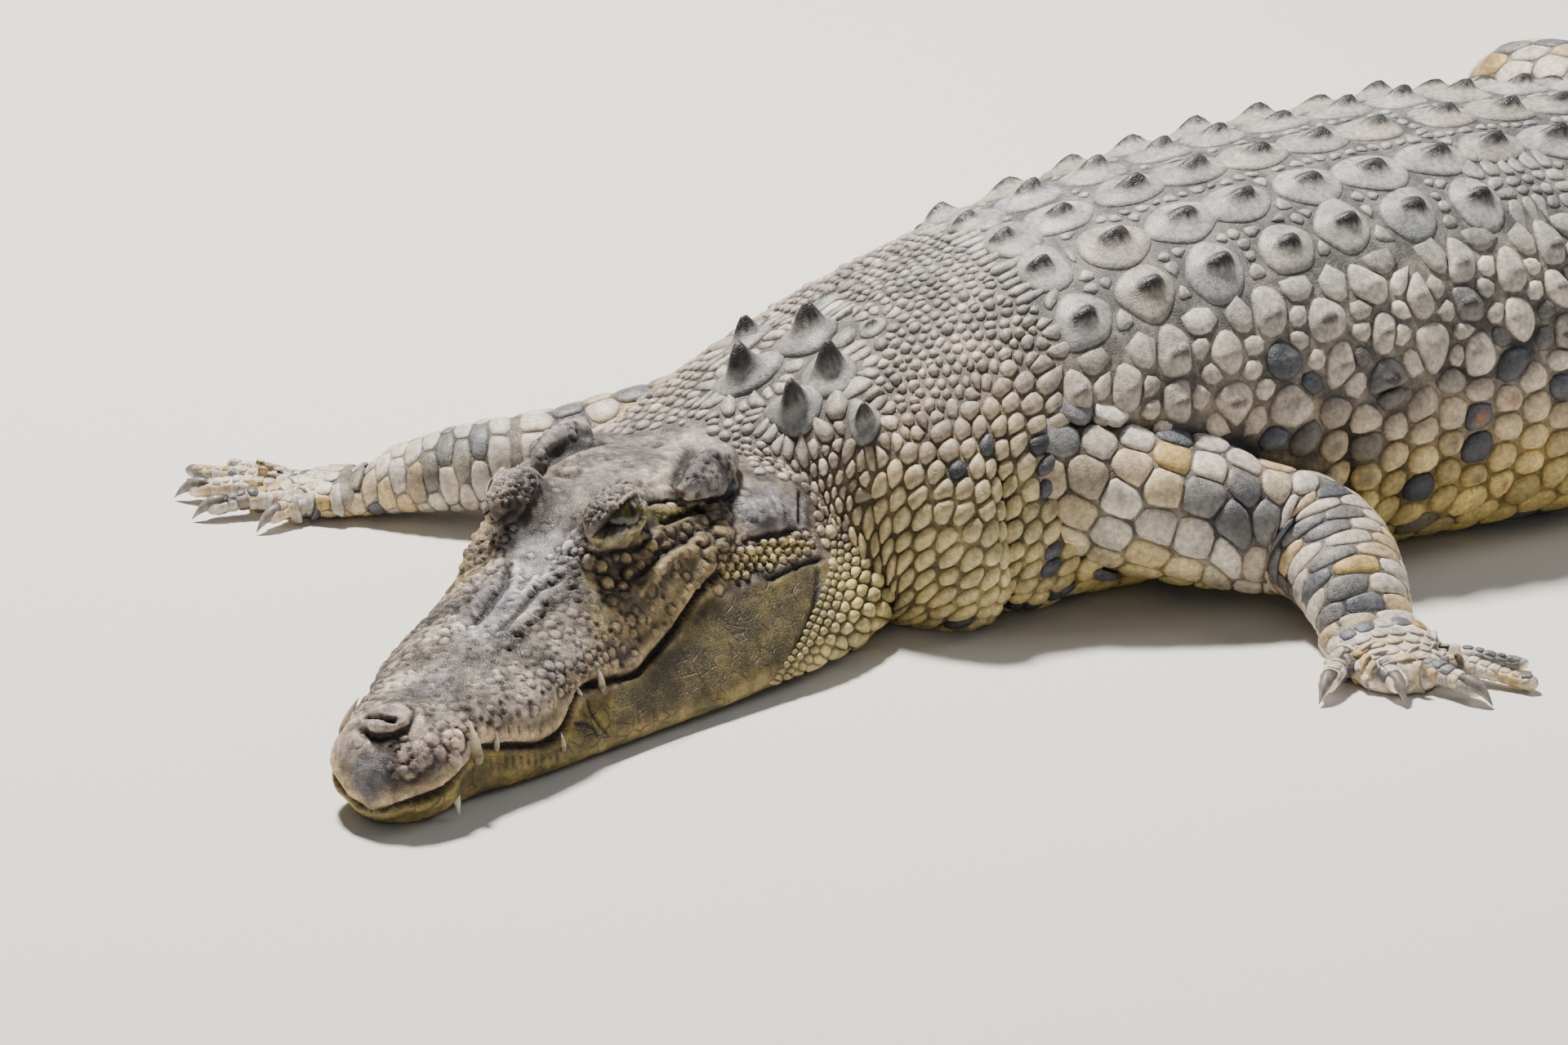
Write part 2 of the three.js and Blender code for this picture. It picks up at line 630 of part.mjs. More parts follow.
/** Head, jaw and eyes. */
function addHead() {
  const eyes = { left: 1, right: -1 };
  const sockets = Object.values(eyes).map((side) => eyeball(side, CUT));
  const upper = joined([skull(), ...teeth(upperTeeth, -1)]);
  const lower = joined([jaw(), ...teeth(lowerTeeth, 1)]);
  const clearLower = lower.subtract(joined(teeth(upperTeeth, -1, CUT)));
  const clearUpper = upper.subtract(joined([...teeth(lowerTeeth, 1, CUT), ...sockets]));
  add("head_upper", largest(clearUpper), "hide");
  add("lower_jaw", largest(grounded(clearLower)), "underside");
  Object.entries(eyes).forEach(([name, side]) => add(`eye_${name}`, eyeball(side), "eye"));
}

// Lengths the body is divided in: name, where each ends behind the nape, and its number of rings.
const LENGTHS = [
  { name: "neck", to: 300, rings: 7, finish: "hide", extra: nuchalPlates },
  { name: "trunk_front", to: 660, rings: 7, finish: "hide" },
  { name: "trunk_rear", to: TAIL_START, rings: 9, finish: "hide" },
  { name: "tail_1", to: alongTail(0.26), rings: 5, finish: "tail", extra: crest },
  { name: "tail_2", to: alongTail(0.52), rings: 6, finish: "tail", extra: crest },
  { name: "tail_3", to: alongTail(0.78), rings: 6, finish: "tail", extra: crest },
  { name: "tail_4", to: alongTail(1), rings: 7, finish: "tail", extra: crest },
];

/** Neck, trunk and tail. Returns the room they take up, which the limbs keep clear of. */
function addBody() {
  const room = [];
  let from = -0.5 * LEAD_IN * HEAD_LENGTH;
  for (const { name, to, rings, finish, extra } of LENGTHS) {
    const plates = extra ? extra(from, to) : [];
    add(name, behindNape(joined([bodyLength(from, to, rings), ...plates])), finish);
    room.push(bodyLength(from - CUT, to + CUT, rings, 2 * CUT));
    from = to;
  }
  return joined(room);
}

/** One limb: its two long parts, its hand or foot, and its claws. */
function addLimb(name, limb, body) {
  const [kind, side] = name.split("_");
  const titles = kind === "arm" ? ["upper_arm", "forearm", "hand"] : ["thigh", "shank", "foot"];
  const [upper, lower, end] = titles.map((title) => `${title}_${side}`);
  const claws = limb.digits.filter((digit) => digit.claw);
  const upperProud = limbLoft(limb.upper, { proud: 1.5 * CUT });
  const lowerProud = limbLoft(limb.lower, { proud: 1.5 * CUT });
  const holes = joined(claws.map((digit) => clawSolid(digit, CUT)));
  const hand = handSolid(limb).subtract(lowerProud).subtract(upperProud).subtract(holes);
  add(upper, largest(grounded(limbLoft(limb.upper).subtract(body))), "limb");
  add(lower, largest(grounded(limbLoft(limb.lower).subtract(upperProud).subtract(body))), "limb");
  add(end, largest(grounded(hand.subtract(body))), "limb");
  claws.forEach((digit, i) => add(`claw_${end}_${i + 1}`, grounded(clawSolid(digit)), "claw"));
}

addHead();
const bodyRoom = addBody();
Object.entries(limbs).forEach(([name, limb]) => addLimb(name, limb, bodyRoom));

// The group's origin is the middle of its footprint on the ground.
const box = new THREE.Box3().setFromObject(group);
const middle = box.getCenter(vec(0, 0, 0));
group.children.forEach((mesh) => mesh.geometry.translate(-middle.x, -middle.y, -box.min.z));

export default group;
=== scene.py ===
import logging
import math
from dataclasses import dataclass, field, replace
from enum import Enum
from typing import Callable, Iterable, Sequence

import bmesh
import bpy
import numpy as np
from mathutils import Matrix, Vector, kdtree, noise
from mathutils.bvhtree import BVHTree


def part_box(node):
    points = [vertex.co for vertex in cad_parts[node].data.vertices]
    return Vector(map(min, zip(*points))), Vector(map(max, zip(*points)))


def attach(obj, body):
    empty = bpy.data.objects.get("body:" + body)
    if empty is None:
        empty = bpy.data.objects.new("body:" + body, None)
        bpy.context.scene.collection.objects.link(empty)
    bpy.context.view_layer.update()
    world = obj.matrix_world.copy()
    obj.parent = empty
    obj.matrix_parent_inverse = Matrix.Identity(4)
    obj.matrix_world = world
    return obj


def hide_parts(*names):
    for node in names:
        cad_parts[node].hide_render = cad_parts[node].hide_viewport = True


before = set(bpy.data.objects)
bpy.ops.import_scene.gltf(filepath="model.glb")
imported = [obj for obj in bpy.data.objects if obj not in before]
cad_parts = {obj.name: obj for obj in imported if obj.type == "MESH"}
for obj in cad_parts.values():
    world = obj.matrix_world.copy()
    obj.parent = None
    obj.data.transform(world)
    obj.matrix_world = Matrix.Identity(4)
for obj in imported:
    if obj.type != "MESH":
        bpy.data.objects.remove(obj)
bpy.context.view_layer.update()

log = logging.getLogger("crocodile")

# ---------- driving dimensions, in metres ----------
HEAD_LENGTH = 0.446  # back of the skull table to the tip of the snout
HEAD_TURN = math.radians(38.0)  # how far the head is turned to the left
HEAD_AT = np.array([0.057, -0.194])  # back of the skull table, seen from above
MM = 0.001  # one millimetre
NAPE = -0.14  # where head and neck meet, in head lengths in front of the skull table's back
EYE_AT = (0.32, 0.106, 0.338)  # ahead, out to the side and up, in head lengths
EYE_RADIUS = 0.0185
LEAD_IN = 0.08  # the body's line starts this far inside the head, in head lengths
TAIL_START = 1.215  # behind the nape
TAIL_LENGTH = 1.62
HIDE_DEPTH = 0.0035  # the skin of the body lies this deep under its scales
HEAD_DEPTH = 0.0012
LIMB_DEPTH = 0.0022
LOWEST = 0.0002  # no scale reaches lower over the ground
LOWEST_FLESH = 0.0003  # nor does skin, tooth or claw
LOWEST_SHEET = 0.0012  # the unrolled surfaces and the head's skin stay this high over the ground
LOWEST_LIMB = 0.0014  # and so do the limbs' own skins, before they are joined
WRIST_DROP = 0.40  # the share by which the wrist is lower than in the solids
WRIST_LENGTH = 0.055  # the stretch before the wrist over which it sinks
LIMB_VOXEL = 0.0032  # width of the faces of a limb's skin
GRAIN_HEIGHT = 0.00045  # relief of the head's bare skin
FIT = 0.985  # the size of the head's rounded lumps, compared with the same ones of the solids
TUCK_DEPTH = 0.004  # how deep the end of one stretch of skin sinks under the next
CLAW_LENGTH = 0.027
SEED = 11

# folds of the neck and behind the arm: place along the body, slant, half width, height, share of the girth
FOLDS = (
    (0.135, 0.05, 0.045, 0.0065, 0.34), (0.172, 0.05, 0.0105, -0.0125, 0.36),
    (0.207, 0.05, 0.012, 0.0030, 0.40), (0.470, 0.05, 0.011, -0.0045, 0.42),
    (0.492, 0.05, 0.012, 0.0035, 0.42), (0.512, 0.05, 0.010, -0.0030, 0.46),
)

FLESH_OF_BODY = ("neck", "trunk_front", "trunk_rear", "tail_1", "tail_2", "tail_3", "tail_4")
FLESH_OF_HEAD = ("head_upper", "lower_jaw")

Array = np.ndarray
Colour = tuple[float, float, float]
Point = tuple[float, float, float]
Place = tuple[float, float]  # across and down in the camera's frame
# the darkness of a stroke is painted shade along it
Stroke = tuple[Sequence[Place], float, float, float]  # path, half width and height in mm, darkness


# ---------- small mathematics ----------
def unit(vectors: Array) -> Array:
    """Vectors of length one, along the last axis."""
    length = np.linalg.norm(vectors, axis=-1, keepdims=True)
    return vectors / np.maximum(length, 1e-12)


def ease(value: Array | float, low: float, high: float) -> Array:
    """Smooth step from 0 at low to 1 at high."""
    share = np.clip((np.asarray(value, dtype=float) - low) / (high - low), 0.0, 1.0)
    return share * share * (3.0 - 2.0 * share)


def hump(value: Array, centre: float, width: float) -> Array:
    """A bell curve round centre."""
    return np.exp(-(((np.asarray(value) - centre) / width) ** 2))


def circle(count: int) -> Array:
    """Evenly spread angles of a full turn."""
    return np.linspace(0, 2 * math.pi, count, endpoint=False)


def blend(first: Array, second: Array, share: Array) -> Array:
    """Colours that go over from the first to the second with the share of each point."""
    return first * (1 - share[:, None]) + second * share[:, None]


def run_along(path: Array) -> Array:
    """Distance of each point of a path from its first one."""
    return np.concatenate([[0], np.cumsum(np.linalg.norm(np.diff(path, axis=0), axis=1))])


def walked(path: Array, places: Array, at: Array) -> Array:
    """Points of a path at some of its places."""
    return np.stack([np.interp(at, places, path[:, i]) for i in range(path.shape[1])], axis=-1)


def search_tree(points: Iterable) -> kdtree.KDTree:
    """A search tree of points, numbered in their order."""
    listed = list(points)
    tree = kdtree.KDTree(len(listed))
    for number, point in enumerate(listed):
        tree.insert(point, number)
    tree.balance()
    return tree


def everywhere(points: Array) -> Array:
    """Every scale stays."""
    return np.ones(len(points), dtype=bool)


def gaussian_rows(values: Array, sigma: float, wrap: bool = False) -> Array:
    """Values smoothed along their first axis.

    Args:
        values: what is smoothed.
        sigma: the width of the bell curve, in rows.
        wrap: whether the last row is next to the first one.

    Returns:
        The smoothed values, of the same shape.
    """
    if sigma < 0.3:
        return values
    reach = int(math.ceil(sigma * 3))
    mode = "wrap" if wrap else "edge"
    padded = np.pad(values, [(reach, reach)] + [(0, 0)] * (values.ndim - 1), mode=mode)
    offsets = np.arange(-reach, reach + 1)
    weights = np.exp(-0.5 * (offsets / sigma) ** 2)
    weights /= weights.sum()
    return sum(w * padded[i : i + len(values)] for i, w in enumerate(weights))


def opened_rows(values: Array, reach: int) -> Array:
    """Values along the first axis without the peaks narrower than twice the reach."""
    def ranked(data: Array, pick: Callable) -> Array:
        """The least or greatest of each value's neighbours."""
        padded = np.pad(data, [(reach, reach)] + [(0, 0)] * (data.ndim - 1), mode="edge")
        return pick([padded[i : i + len(data)] for i in range(2 * reach + 1)], axis=0)

    return ranked(ranked(values, np.min), np.max)


# ---------- places on the animal ----------
HEAD_AHEAD = np.array([math.sin(HEAD_TURN), -math.cos(HEAD_TURN), 0.0])
HEAD_LEFT = np.array([math.cos(HEAD_TURN), math.sin(HEAD_TURN), 0.0])
UP = np.array([0.0, 0.0, 1.0])


def in_head_raw(ahead: Array | float, left: Array | float, up: Array | float) -> Array:
    """A point given in head lengths, before the frame's own origin is taken into account."""
    ahead, left, up = np.broadcast_arrays(ahead, left, up)
    base = np.array([HEAD_AT[0], HEAD_AT[1], 0.0])
    along = ahead[..., None] * HEAD_AHEAD + left[..., None] * HEAD_LEFT + up[..., None] * UP
    return base + HEAD_LENGTH * along


def home_of_frame() -> Array:
    """What is added to the animal's own coordinates to reach the frame's."""
    low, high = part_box("eye_left")
    middle = (np.array(low) + np.array(high)) / 2
    home = middle - in_head_raw(*EYE_AT)
    return np.array([home[0], home[1], 0.0])


HOME = home_of_frame()


def in_head(ahead: Array | float, left: Array | float, up: Array | float) -> Array:
    """A point of the frame given in head lengths: in front of the skull table's back, left and up."""
    return in_head_raw(ahead, left, up) + HOME


def to_head(points: Array) -> Array:
    """Points of the frame in head lengths: ahead, left and up."""
    base = np.array([HEAD_AT[0], HEAD_AT[1], 0.0]) + HOME
    offset = points - base
    parts = (offset @ HEAD_AHEAD, offset @ HEAD_LEFT, offset[..., 2])
    return np.stack(parts, axis=-1) / HEAD_LENGTH


def flipped(points: Array) -> Array:
    """Points mirrored to the other side of the head."""
    local = to_head(points)
    return in_head(local[:, 0], -local[:, 1], local[:, 2])


def on_left(points: Array) -> Array:
    """Points of the head, those of its right side mirrored to the left."""
    local = to_head(points)
    return in_head(local[:, 0], np.abs(local[:, 1]), local[:, 2])


def on_ground(points: Array, least: float) -> None:
    """Lifts the points that lie lower than the least height."""
    points[:, 2] = np.maximum(points[:, 2], least)


# ---------- meshes as arrays ----------
@dataclass
class Flesh:
    """A mesh as arrays: its points and its faces of three or four corners."""

    points: Array
    faces: Array

    def edges(self) -> Array:
        """Pairs of neighbouring points, each pair once."""
        corners = self.faces.shape[1]
        pairs = [self.faces[:, [i, (i + 1) % corners]] for i in range(corners)]
        both = np.concatenate(pairs)
        return np.unique(np.sort(both, axis=1), axis=0)

    def normals(self) -> Array:
        """Outward normal of each point."""
        p = self.points[self.faces]
        if self.faces.shape[1] == 4:
            face = np.cross(p[:, 2] - p[:, 0], p[:, 3] - p[:, 1])
        else:
            face = np.cross(p[:, 1] - p[:, 0], p[:, 2] - p[:, 0])
        out = np.zeros_like(self.points)
        for corner in range(self.faces.shape[1]):
            for axis in range(3):
                out[:, axis] += np.bincount(
                    self.faces[:, corner], weights=face[:, axis], minlength=len(self.points)
                )
        return unit(out)

    def averaged(self, values: Array, rounds: int) -> Array:
        """Values of the points, each drawn halfway towards the mean of its neighbours.

        Args:
            values: one row for each point.
            rounds: how many times it is done.

        Returns:
            The smoothed values.
        """
        pairs = self.edges()
        a, b = pairs[:, 0], pairs[:, 1]
        count = len(self.points)
        degree = np.bincount(a, minlength=count) + np.bincount(b, minlength=count)
        degree = np.maximum(degree, 1)
        flat = values.reshape(count, -1).copy()
        for _ in range(rounds):
            for column in range(flat.shape[1]):
                data = flat[:, column]
                total = np.bincount(a, weights=data[b], minlength=count)
                total += np.bincount(b, weights=data[a], minlength=count)
                flat[:, column] = data + 0.5 * (total / degree - data)
        return flat.reshape(values.shape)


def joined(parts: Sequence[Flesh]) -> Flesh:
    """Several meshes as one, their faces all cut to triangles where they differ."""
    corners = {part.faces.shape[1] for part in parts}
    points, faces, start = [], [], 0
    for part in parts:
        cut = part.faces
        if len(corners) > 1 and cut.shape[1] == 4:
            cut = np.concatenate([cut[:, [0, 1, 2]], cut[:, [0, 2, 3]]])
        points.append(part.points)
        faces.append(cut + start)
        start += len(part.points)
    return Flesh(np.concatenate(points), np.concatenate(faces))


def mesh_from(name: str, flesh: Flesh) -> bpy.types.Mesh:
    """A Blender mesh made from arrays, quickly."""
    mesh = bpy.data.meshes.new(name)
    count, corners = flesh.faces.shape
    mesh.vertices.add(len(flesh.points))
    mesh.vertices.foreach_set("co", flesh.points.astype(np.float32).ravel())
    mesh.loops.add(count * corners)
    mesh.loops.foreach_set("vertex_index", flesh.faces.astype(np.int32).ravel())
    mesh.polygons.add(count)
    mesh.polygons.foreach_set("loop_start", np.arange(0, count * corners, corners, dtype=np.int32))
    mesh.update(calc_edges=True)
    mesh.validate()
    return mesh


def flesh_from(mesh: bpy.types.Mesh) -> Flesh:
    """The arrays of a Blender mesh, in triangles unless every face has four corners."""
    points = np.empty(len(mesh.vertices) * 3, dtype=np.float32)
    mesh.vertices.foreach_get("co", points)
    totals = np.empty(len(mesh.polygons), dtype=np.int32)
    mesh.polygons.foreach_get("loop_total", totals)
    if len(totals) and np.all(totals == 4):
        corners = np.empty(len(totals) * 4, dtype=np.int32)
        mesh.polygons.foreach_get("vertices", corners)
        faces = corners.reshape(-1, 4)
    else:
        mesh.calc_loop_triangles()
        corners = np.empty(len(mesh.loop_triangles) * 3, dtype=np.int32)
        mesh.loop_triangles.foreach_get("vertices", corners)
        faces = corners.reshape(-1, 3)
    return Flesh(points.reshape(-1, 3).astype(float), faces)


def linked(name: str, data: bpy.types.ID | None) -> bpy.types.Object:
    """A new object in the scene."""
    made = bpy.data.objects.new(name, data)
    bpy.context.scene.collection.objects.link(made)
    return made


def place(name: str, mesh: bpy.types.Mesh, material: bpy.types.Material) -> bpy.types.Object:
    """A finished piece in the scene, riding on the body.

    Args:
        name: the piece's name.
        mesh: its mesh, in the frame's coordinates.
        material: its finish.

    Returns:
        The new object.
    """
    mesh.materials.append(material)
    mesh.shade_smooth()
    piece = linked(name, mesh)
    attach(piece, "root")
    log.info("%s: %d faces", name, len(mesh.polygons))
    return piece


def modified(flesh: Flesh, kinds: Sequence[tuple[str, dict]]) -> Flesh:
    """The mesh after some of Blender's modifiers, each given by its type and its settings."""
    mesh = mesh_from("working", flesh)
    worked = linked("working", mesh)
    for kind, settings in kinds:
        modifier = worked.modifiers.new(kind, kind)
        for key, value in settings.items():
            setattr(modifier, key, value)
    shown = worked.evaluated_get(bpy.context.evaluated_depsgraph_get())
    made = flesh_from(shown.to_mesh())
    shown.to_mesh_clear()
    bpy.data.objects.remove(worked)
    bpy.data.meshes.remove(mesh)
    return made


def remeshed(flesh: Flesh, voxel: float) -> Flesh:
    """One closed skin round everything in the mesh, with faces about a voxel wide."""
    return modified(flesh, [("REMESH", {"mode": "VOXEL", "voxel_size": voxel, "adaptivity": 0.0})])


def smoothed(flesh: Flesh, rounds: int) -> Flesh:
    """The mesh evened out by a number of rounds."""
    return modified(flesh, [("SMOOTH", {"factor": 0.5, "iterations": rounds})])


def united(first: Flesh, others: Sequence[Flesh]) -> Flesh:
    """Several closed meshes as one closed mesh."""
    helpers = [linked("helper", mesh_from("helper", other)) for other in others]
    steps = [("BOOLEAN", {"operation": "UNION", "solver": "MANIFOLD", "object": h}) for h in helpers]
    made = modified(first, steps)
    for helper in helpers:
        mesh = helper.data
        bpy.data.objects.remove(helper)
        bpy.data.meshes.remove(mesh)
    return made


def grid_solid(rings: Array) -> Flesh:
    """A closed mesh through a stack of closed rings of points."""
    count, sides, _ = rings.shape
    index = np.arange(count * sides).reshape(count, sides)
    a, b = index[:-1], np.roll(index, -1, axis=1)[:-1]
    c, d = np.roll(index, -1, axis=1)[1:], index[1:]
    walls = np.stack([a, b, c, d], axis=-1).reshape(-1, 4)
    points = np.concatenate([rings.reshape(-1, 3), [rings[0].mean(axis=0), rings[-1].mean(axis=0)]])
    front, back = count * sides, count * sides + 1
    turned = np.roll(np.arange(sides), -1)
    nose = np.stack([np.full(sides, front), turned, np.arange(sides)], axis=-1)
    rear = np.stack([np.full(sides, back), index[-1], index[-1][turned]], axis=-1)
    walls = np.concatenate([walls[:, [0, 1, 2]], walls[:, [0, 2, 3]]])
    made = Flesh(points, np.concatenate([walls, nose, rear]))
    p = made.points[made.faces]
    volume = np.einsum("ij,ij->i", p[:, 0], np.cross(p[:, 1], p[:, 2])).sum()
    return made if volume > 0 else Flesh(made.points, made.faces[:, ::-1])


def rings_round(first: Array, second: Array, along_first: Array, along_second: Array) -> Array:
    """Rings of directions in the planes of two axes at each row, from their parts along either."""
    return first[:, None] * along_first[None, :, None] + second[:, None] * along_second[None, :, None]


def ball(centre: Array, axes: Array, sides: int = 28) -> Flesh:
    """A smooth ellipsoid whose three half axes are the rows of axes."""
    tilt = np.linspace(0.04, math.pi - 0.04, sides // 2)
    around = circle(sides)
    x = np.sin(tilt)[:, None] * np.cos(around)
    y = np.sin(tilt)[:, None] * np.sin(around)
    z = np.repeat(np.cos(tilt)[:, None], sides, axis=1)
    return grid_solid(centre + np.stack([x, y, z], axis=-1) @ axes)


def swept(path: Array, widths: Array, flatness: float = 1.0, sides: int = 16) -> Flesh:
    """A smooth tube with rounded ends along a path.

    Args:
        path: the points that it runs through.
        widths: its half width at each of them.
        flatness: its height as a share of its width.
        sides: how many sides its section has.

    Returns:
        The closed tube.
    """
    share = np.linspace(0, len(path) - 1, 6 * len(path))
    centre = gaussian_rows(walked(path, range(len(path)), share), 2.0)
    wide = np.interp(share, range(len(path)), widths)
    along = unit(np.gradient(centre, axis=0))
    opening, closing = np.linspace(1.4, 0.2, 5), np.linspace(0.2, 1.4, 5)
    start = np.repeat(centre[:1], 5, axis=0) - along[0] * wide[0] * np.sin(opening)[:, None]
    end = np.repeat(centre[-1:], 5, axis=0) + along[-1] * wide[-1] * np.sin(closing)[:, None]
    centre = np.concatenate([start, centre, end])
    wide = np.concatenate([wide[0] * np.cos(opening), wide, wide[-1] * np.cos(closing)])
    along = np.concatenate([np.repeat(along[:1], 5, 0), along, np.repeat(along[-1:], 5, 0)])
    aside = unit(np.cross(UP, along) + 1e-9)
    turn = circle(sides)
    ring = rings_round(aside, np.cross(along, aside), np.cos(turn), np.sin(turn) * flatness)
    return grid_solid(centre[:, None] + ring * wide[:, None, None])


# ---------- a surface unrolled round a line ----------
@dataclass
class Sheet:
    """A body surface unrolled round a line: u metres along it, and v metres round it from the top."""

    u: Array
    surface: Array
    half_girth: Array

    @classmethod
    def around(
        cls,
        u: Array,
        centres: Array,
        along: Array,
        nodes: Iterable[str],
        reach: float,
        smooth: tuple[float, float],
        depth: float,
        peaks: int = 0,
        columns: int = 181,
    ) -> "Sheet":
        """The surface of some CAD nodes, seen from outside towards a line, and smoothed.

        Args:
            u: distances along the line.
            centres: the points of the line there.
            along: the line's direction there.
            nodes: the names of the nodes.
            reach: how far outside the line it is looked from.
            smooth: widths of the smoothing, in rows along and in columns around.
            depth: how far the sheet lies inside the nodes.
            peaks: half the width in rows of the peaks on the back that are left out.
            columns: points round half of the girth.

        Returns:
            The sheet.
        """
        tree = tree_of(nodes)
        left = unit(np.cross(along, UP))
        over = unit(np.cross(left, along))
        turn = np.linspace(-math.pi, math.pi, columns)[:-1]
        radii = np.full((len(u), len(turn)), np.nan)
        out = rings_round(over, left, np.cos(turn), np.sin(turn))
        for i in range(len(u)):
            for j in range(len(turn)):
                start = centres[i] + out[i, j] * reach
                hit = tree.ray_cast(Vector(start), Vector(-out[i, j]), reach)
                if hit[0] is not None:
                    radii[i, j] = reach - hit[3]
        radii = filled(radii)
        if peaks:
            top = ease(np.cos(turn), 0.1, 0.5)
            radii = radii * (1 - top) + opened_rows(radii, peaks) * top
        radii = gaussian_rows(radii, smooth[0])
        radii = gaussian_rows(radii.T, smooth[1], wrap=True).T
        points = centres[:, None] + out * (radii - depth)[..., None]
        points[..., 2] = np.maximum(points[..., 2], LOWEST_SHEET)
        return cls.unrolled(u, points)

    @classmethod
    def unrolled(cls, u: Array, rings: Array) -> "Sheet":
        """A sheet from closed rings whose first point lies at the bottom."""
        closed = np.concatenate([rings, rings[:, :1]], axis=1)
        run = np.array([run_along(ring) for ring in closed])
        middle = closed.shape[1] // 2
        share = np.linspace(-1, 1, closed.shape[1])
        surface = np.empty_like(closed)
        half = np.empty(len(u))
        for i in range(len(u)):
            v = run[i] - run[i, middle]
            half[i] = 0.5 * run[i, -1]
            right, left = max(run[i, middle], 1e-9), max(run[i, -1] - run[i, middle], 1e-9)
            surface[i] = walked(closed[i], np.where(v < 0, v / right, v / left), share)
        return cls(u, surface, half)

    def __post_init__(self) -> None:
        """Works out the normals once."""
        du = np.gradient(self.surface, axis=0)
        dv = np.gradient(self.surface, axis=1)
        dv[:, 0] = dv[:, -1] = dv[:, 0] + dv[:, -1]
        self.normal_grid = unit(np.cross(dv, du))
        middle = self.surface.shape[1] // 2
        centre = self.surface.mean(axis=1)
        outward = self.surface[:, middle] - centre
        if (self.normal_grid[:, middle] * outward).sum() < 0:
            self.normal_grid *= -1

    def half(self, u: Array) -> Array:
        """Half of the girth at u."""
        return np.interp(u, self.u, self.half_girth)

    def look_up(self, grid: Array, u: Array, v: Array) -> Array:
        """Values of a grid of the sheet at places on it."""
        rows, columns = grid.shape[:2]
        i = np.interp(u, self.u, np.arange(rows)).clip(0, rows - 1.001)
        t = (v / self.half(u)).clip(-1, 1)
        j = ((t + 1) / 2 * (columns - 1)).clip(0, columns - 1.001)
        i0, j0 = i.astype(int), j.astype(int)
        di, dj = (i - i0)[..., None], (j - j0)[..., None]
        low = grid[i0, j0] * (1 - dj) + grid[i0, j0 + 1] * dj
        high = grid[i0 + 1, j0] * (1 - dj) + grid[i0 + 1, j0 + 1] * dj
        return low * (1 - di) + high * di

    def point(self, u: Array, v: Array) -> Array:
        """Points of the surface."""
        return self.look_up(self.surface, u, v)

    def normal(self, u: Array, v: Array) -> Array:
        """Outward normals of the surface."""
        return unit(self.look_up(self.normal_grid, u, v))

    def solid(self, first: float, last: float, sides: int, step: float, tuck: tuple = (0.0, 0.0)) -> Flesh:
        """A closed mesh of the surface between two places along the line.

        Args:
            first: where it begins.
            last: where it ends.
            sides: points round it.
            step: distance between its rings.
            tuck: lengths at its two ends over which it sinks in, to meet its neighbour inside.

        Returns:
            The closed mesh.
        """
        u = np.linspace(first, last, max(2, int(round((last - first) / step)) + 1))
        t = np.linspace(-1, 1, sides, endpoint=False)
        uu, tt = np.meshgrid(u, t, indexing="ij")
        vv = tt * self.half(uu)
        sunk = np.zeros_like(uu)
        if tuck[0]:
            sunk += TUCK_DEPTH * (1 - ease(uu, first, first + tuck[0]))
        if tuck[1]:
            sunk += TUCK_DEPTH * ease(uu, last - tuck[1], last)
        return grid_solid(self.point(uu, vv) - self.normal(uu, vv) * sunk[..., None])


def filled(values: Array) -> Array:
    """Values with their gaps filled from the columns beside them."""
    out = values.copy()
    columns = np.arange(out.shape[1])
    for row in out:
        known = ~np.isnan(row)
        if known.any():
            row[~known] = np.interp(columns[~known], columns[known], row[known], period=len(row))
    rows = np.arange(len(out))
    known = ~np.isnan(out[:, 0])
    for column in columns:
        out[:, column] = np.interp(rows, rows[known], out[known, column])
    return out


def tree_of(nodes: Iterable[str]) -> BVHTree:
    """A search tree of the surfaces of some CAD nodes."""
    return tree_from(joined([flesh_from(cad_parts[name].data) for name in nodes]))


def tree_from(flesh: Flesh) -> BVHTree:
    """A search tree of a mesh."""
    return BVHTree.FromPolygons(flesh.points.tolist(), flesh.faces.tolist())


# ---------- the line of the body ----------
# how high the line runs: distance behind the nape, and height
BODY_MIDDLE = (
    (-0.06, 0.07), (0.0, 0.07), (0.3, 0.1), (0.7, 0.12), (1.2, 0.1), (1.8, 0.06), (2.4, 0.04), (2.83, 0.008),
)


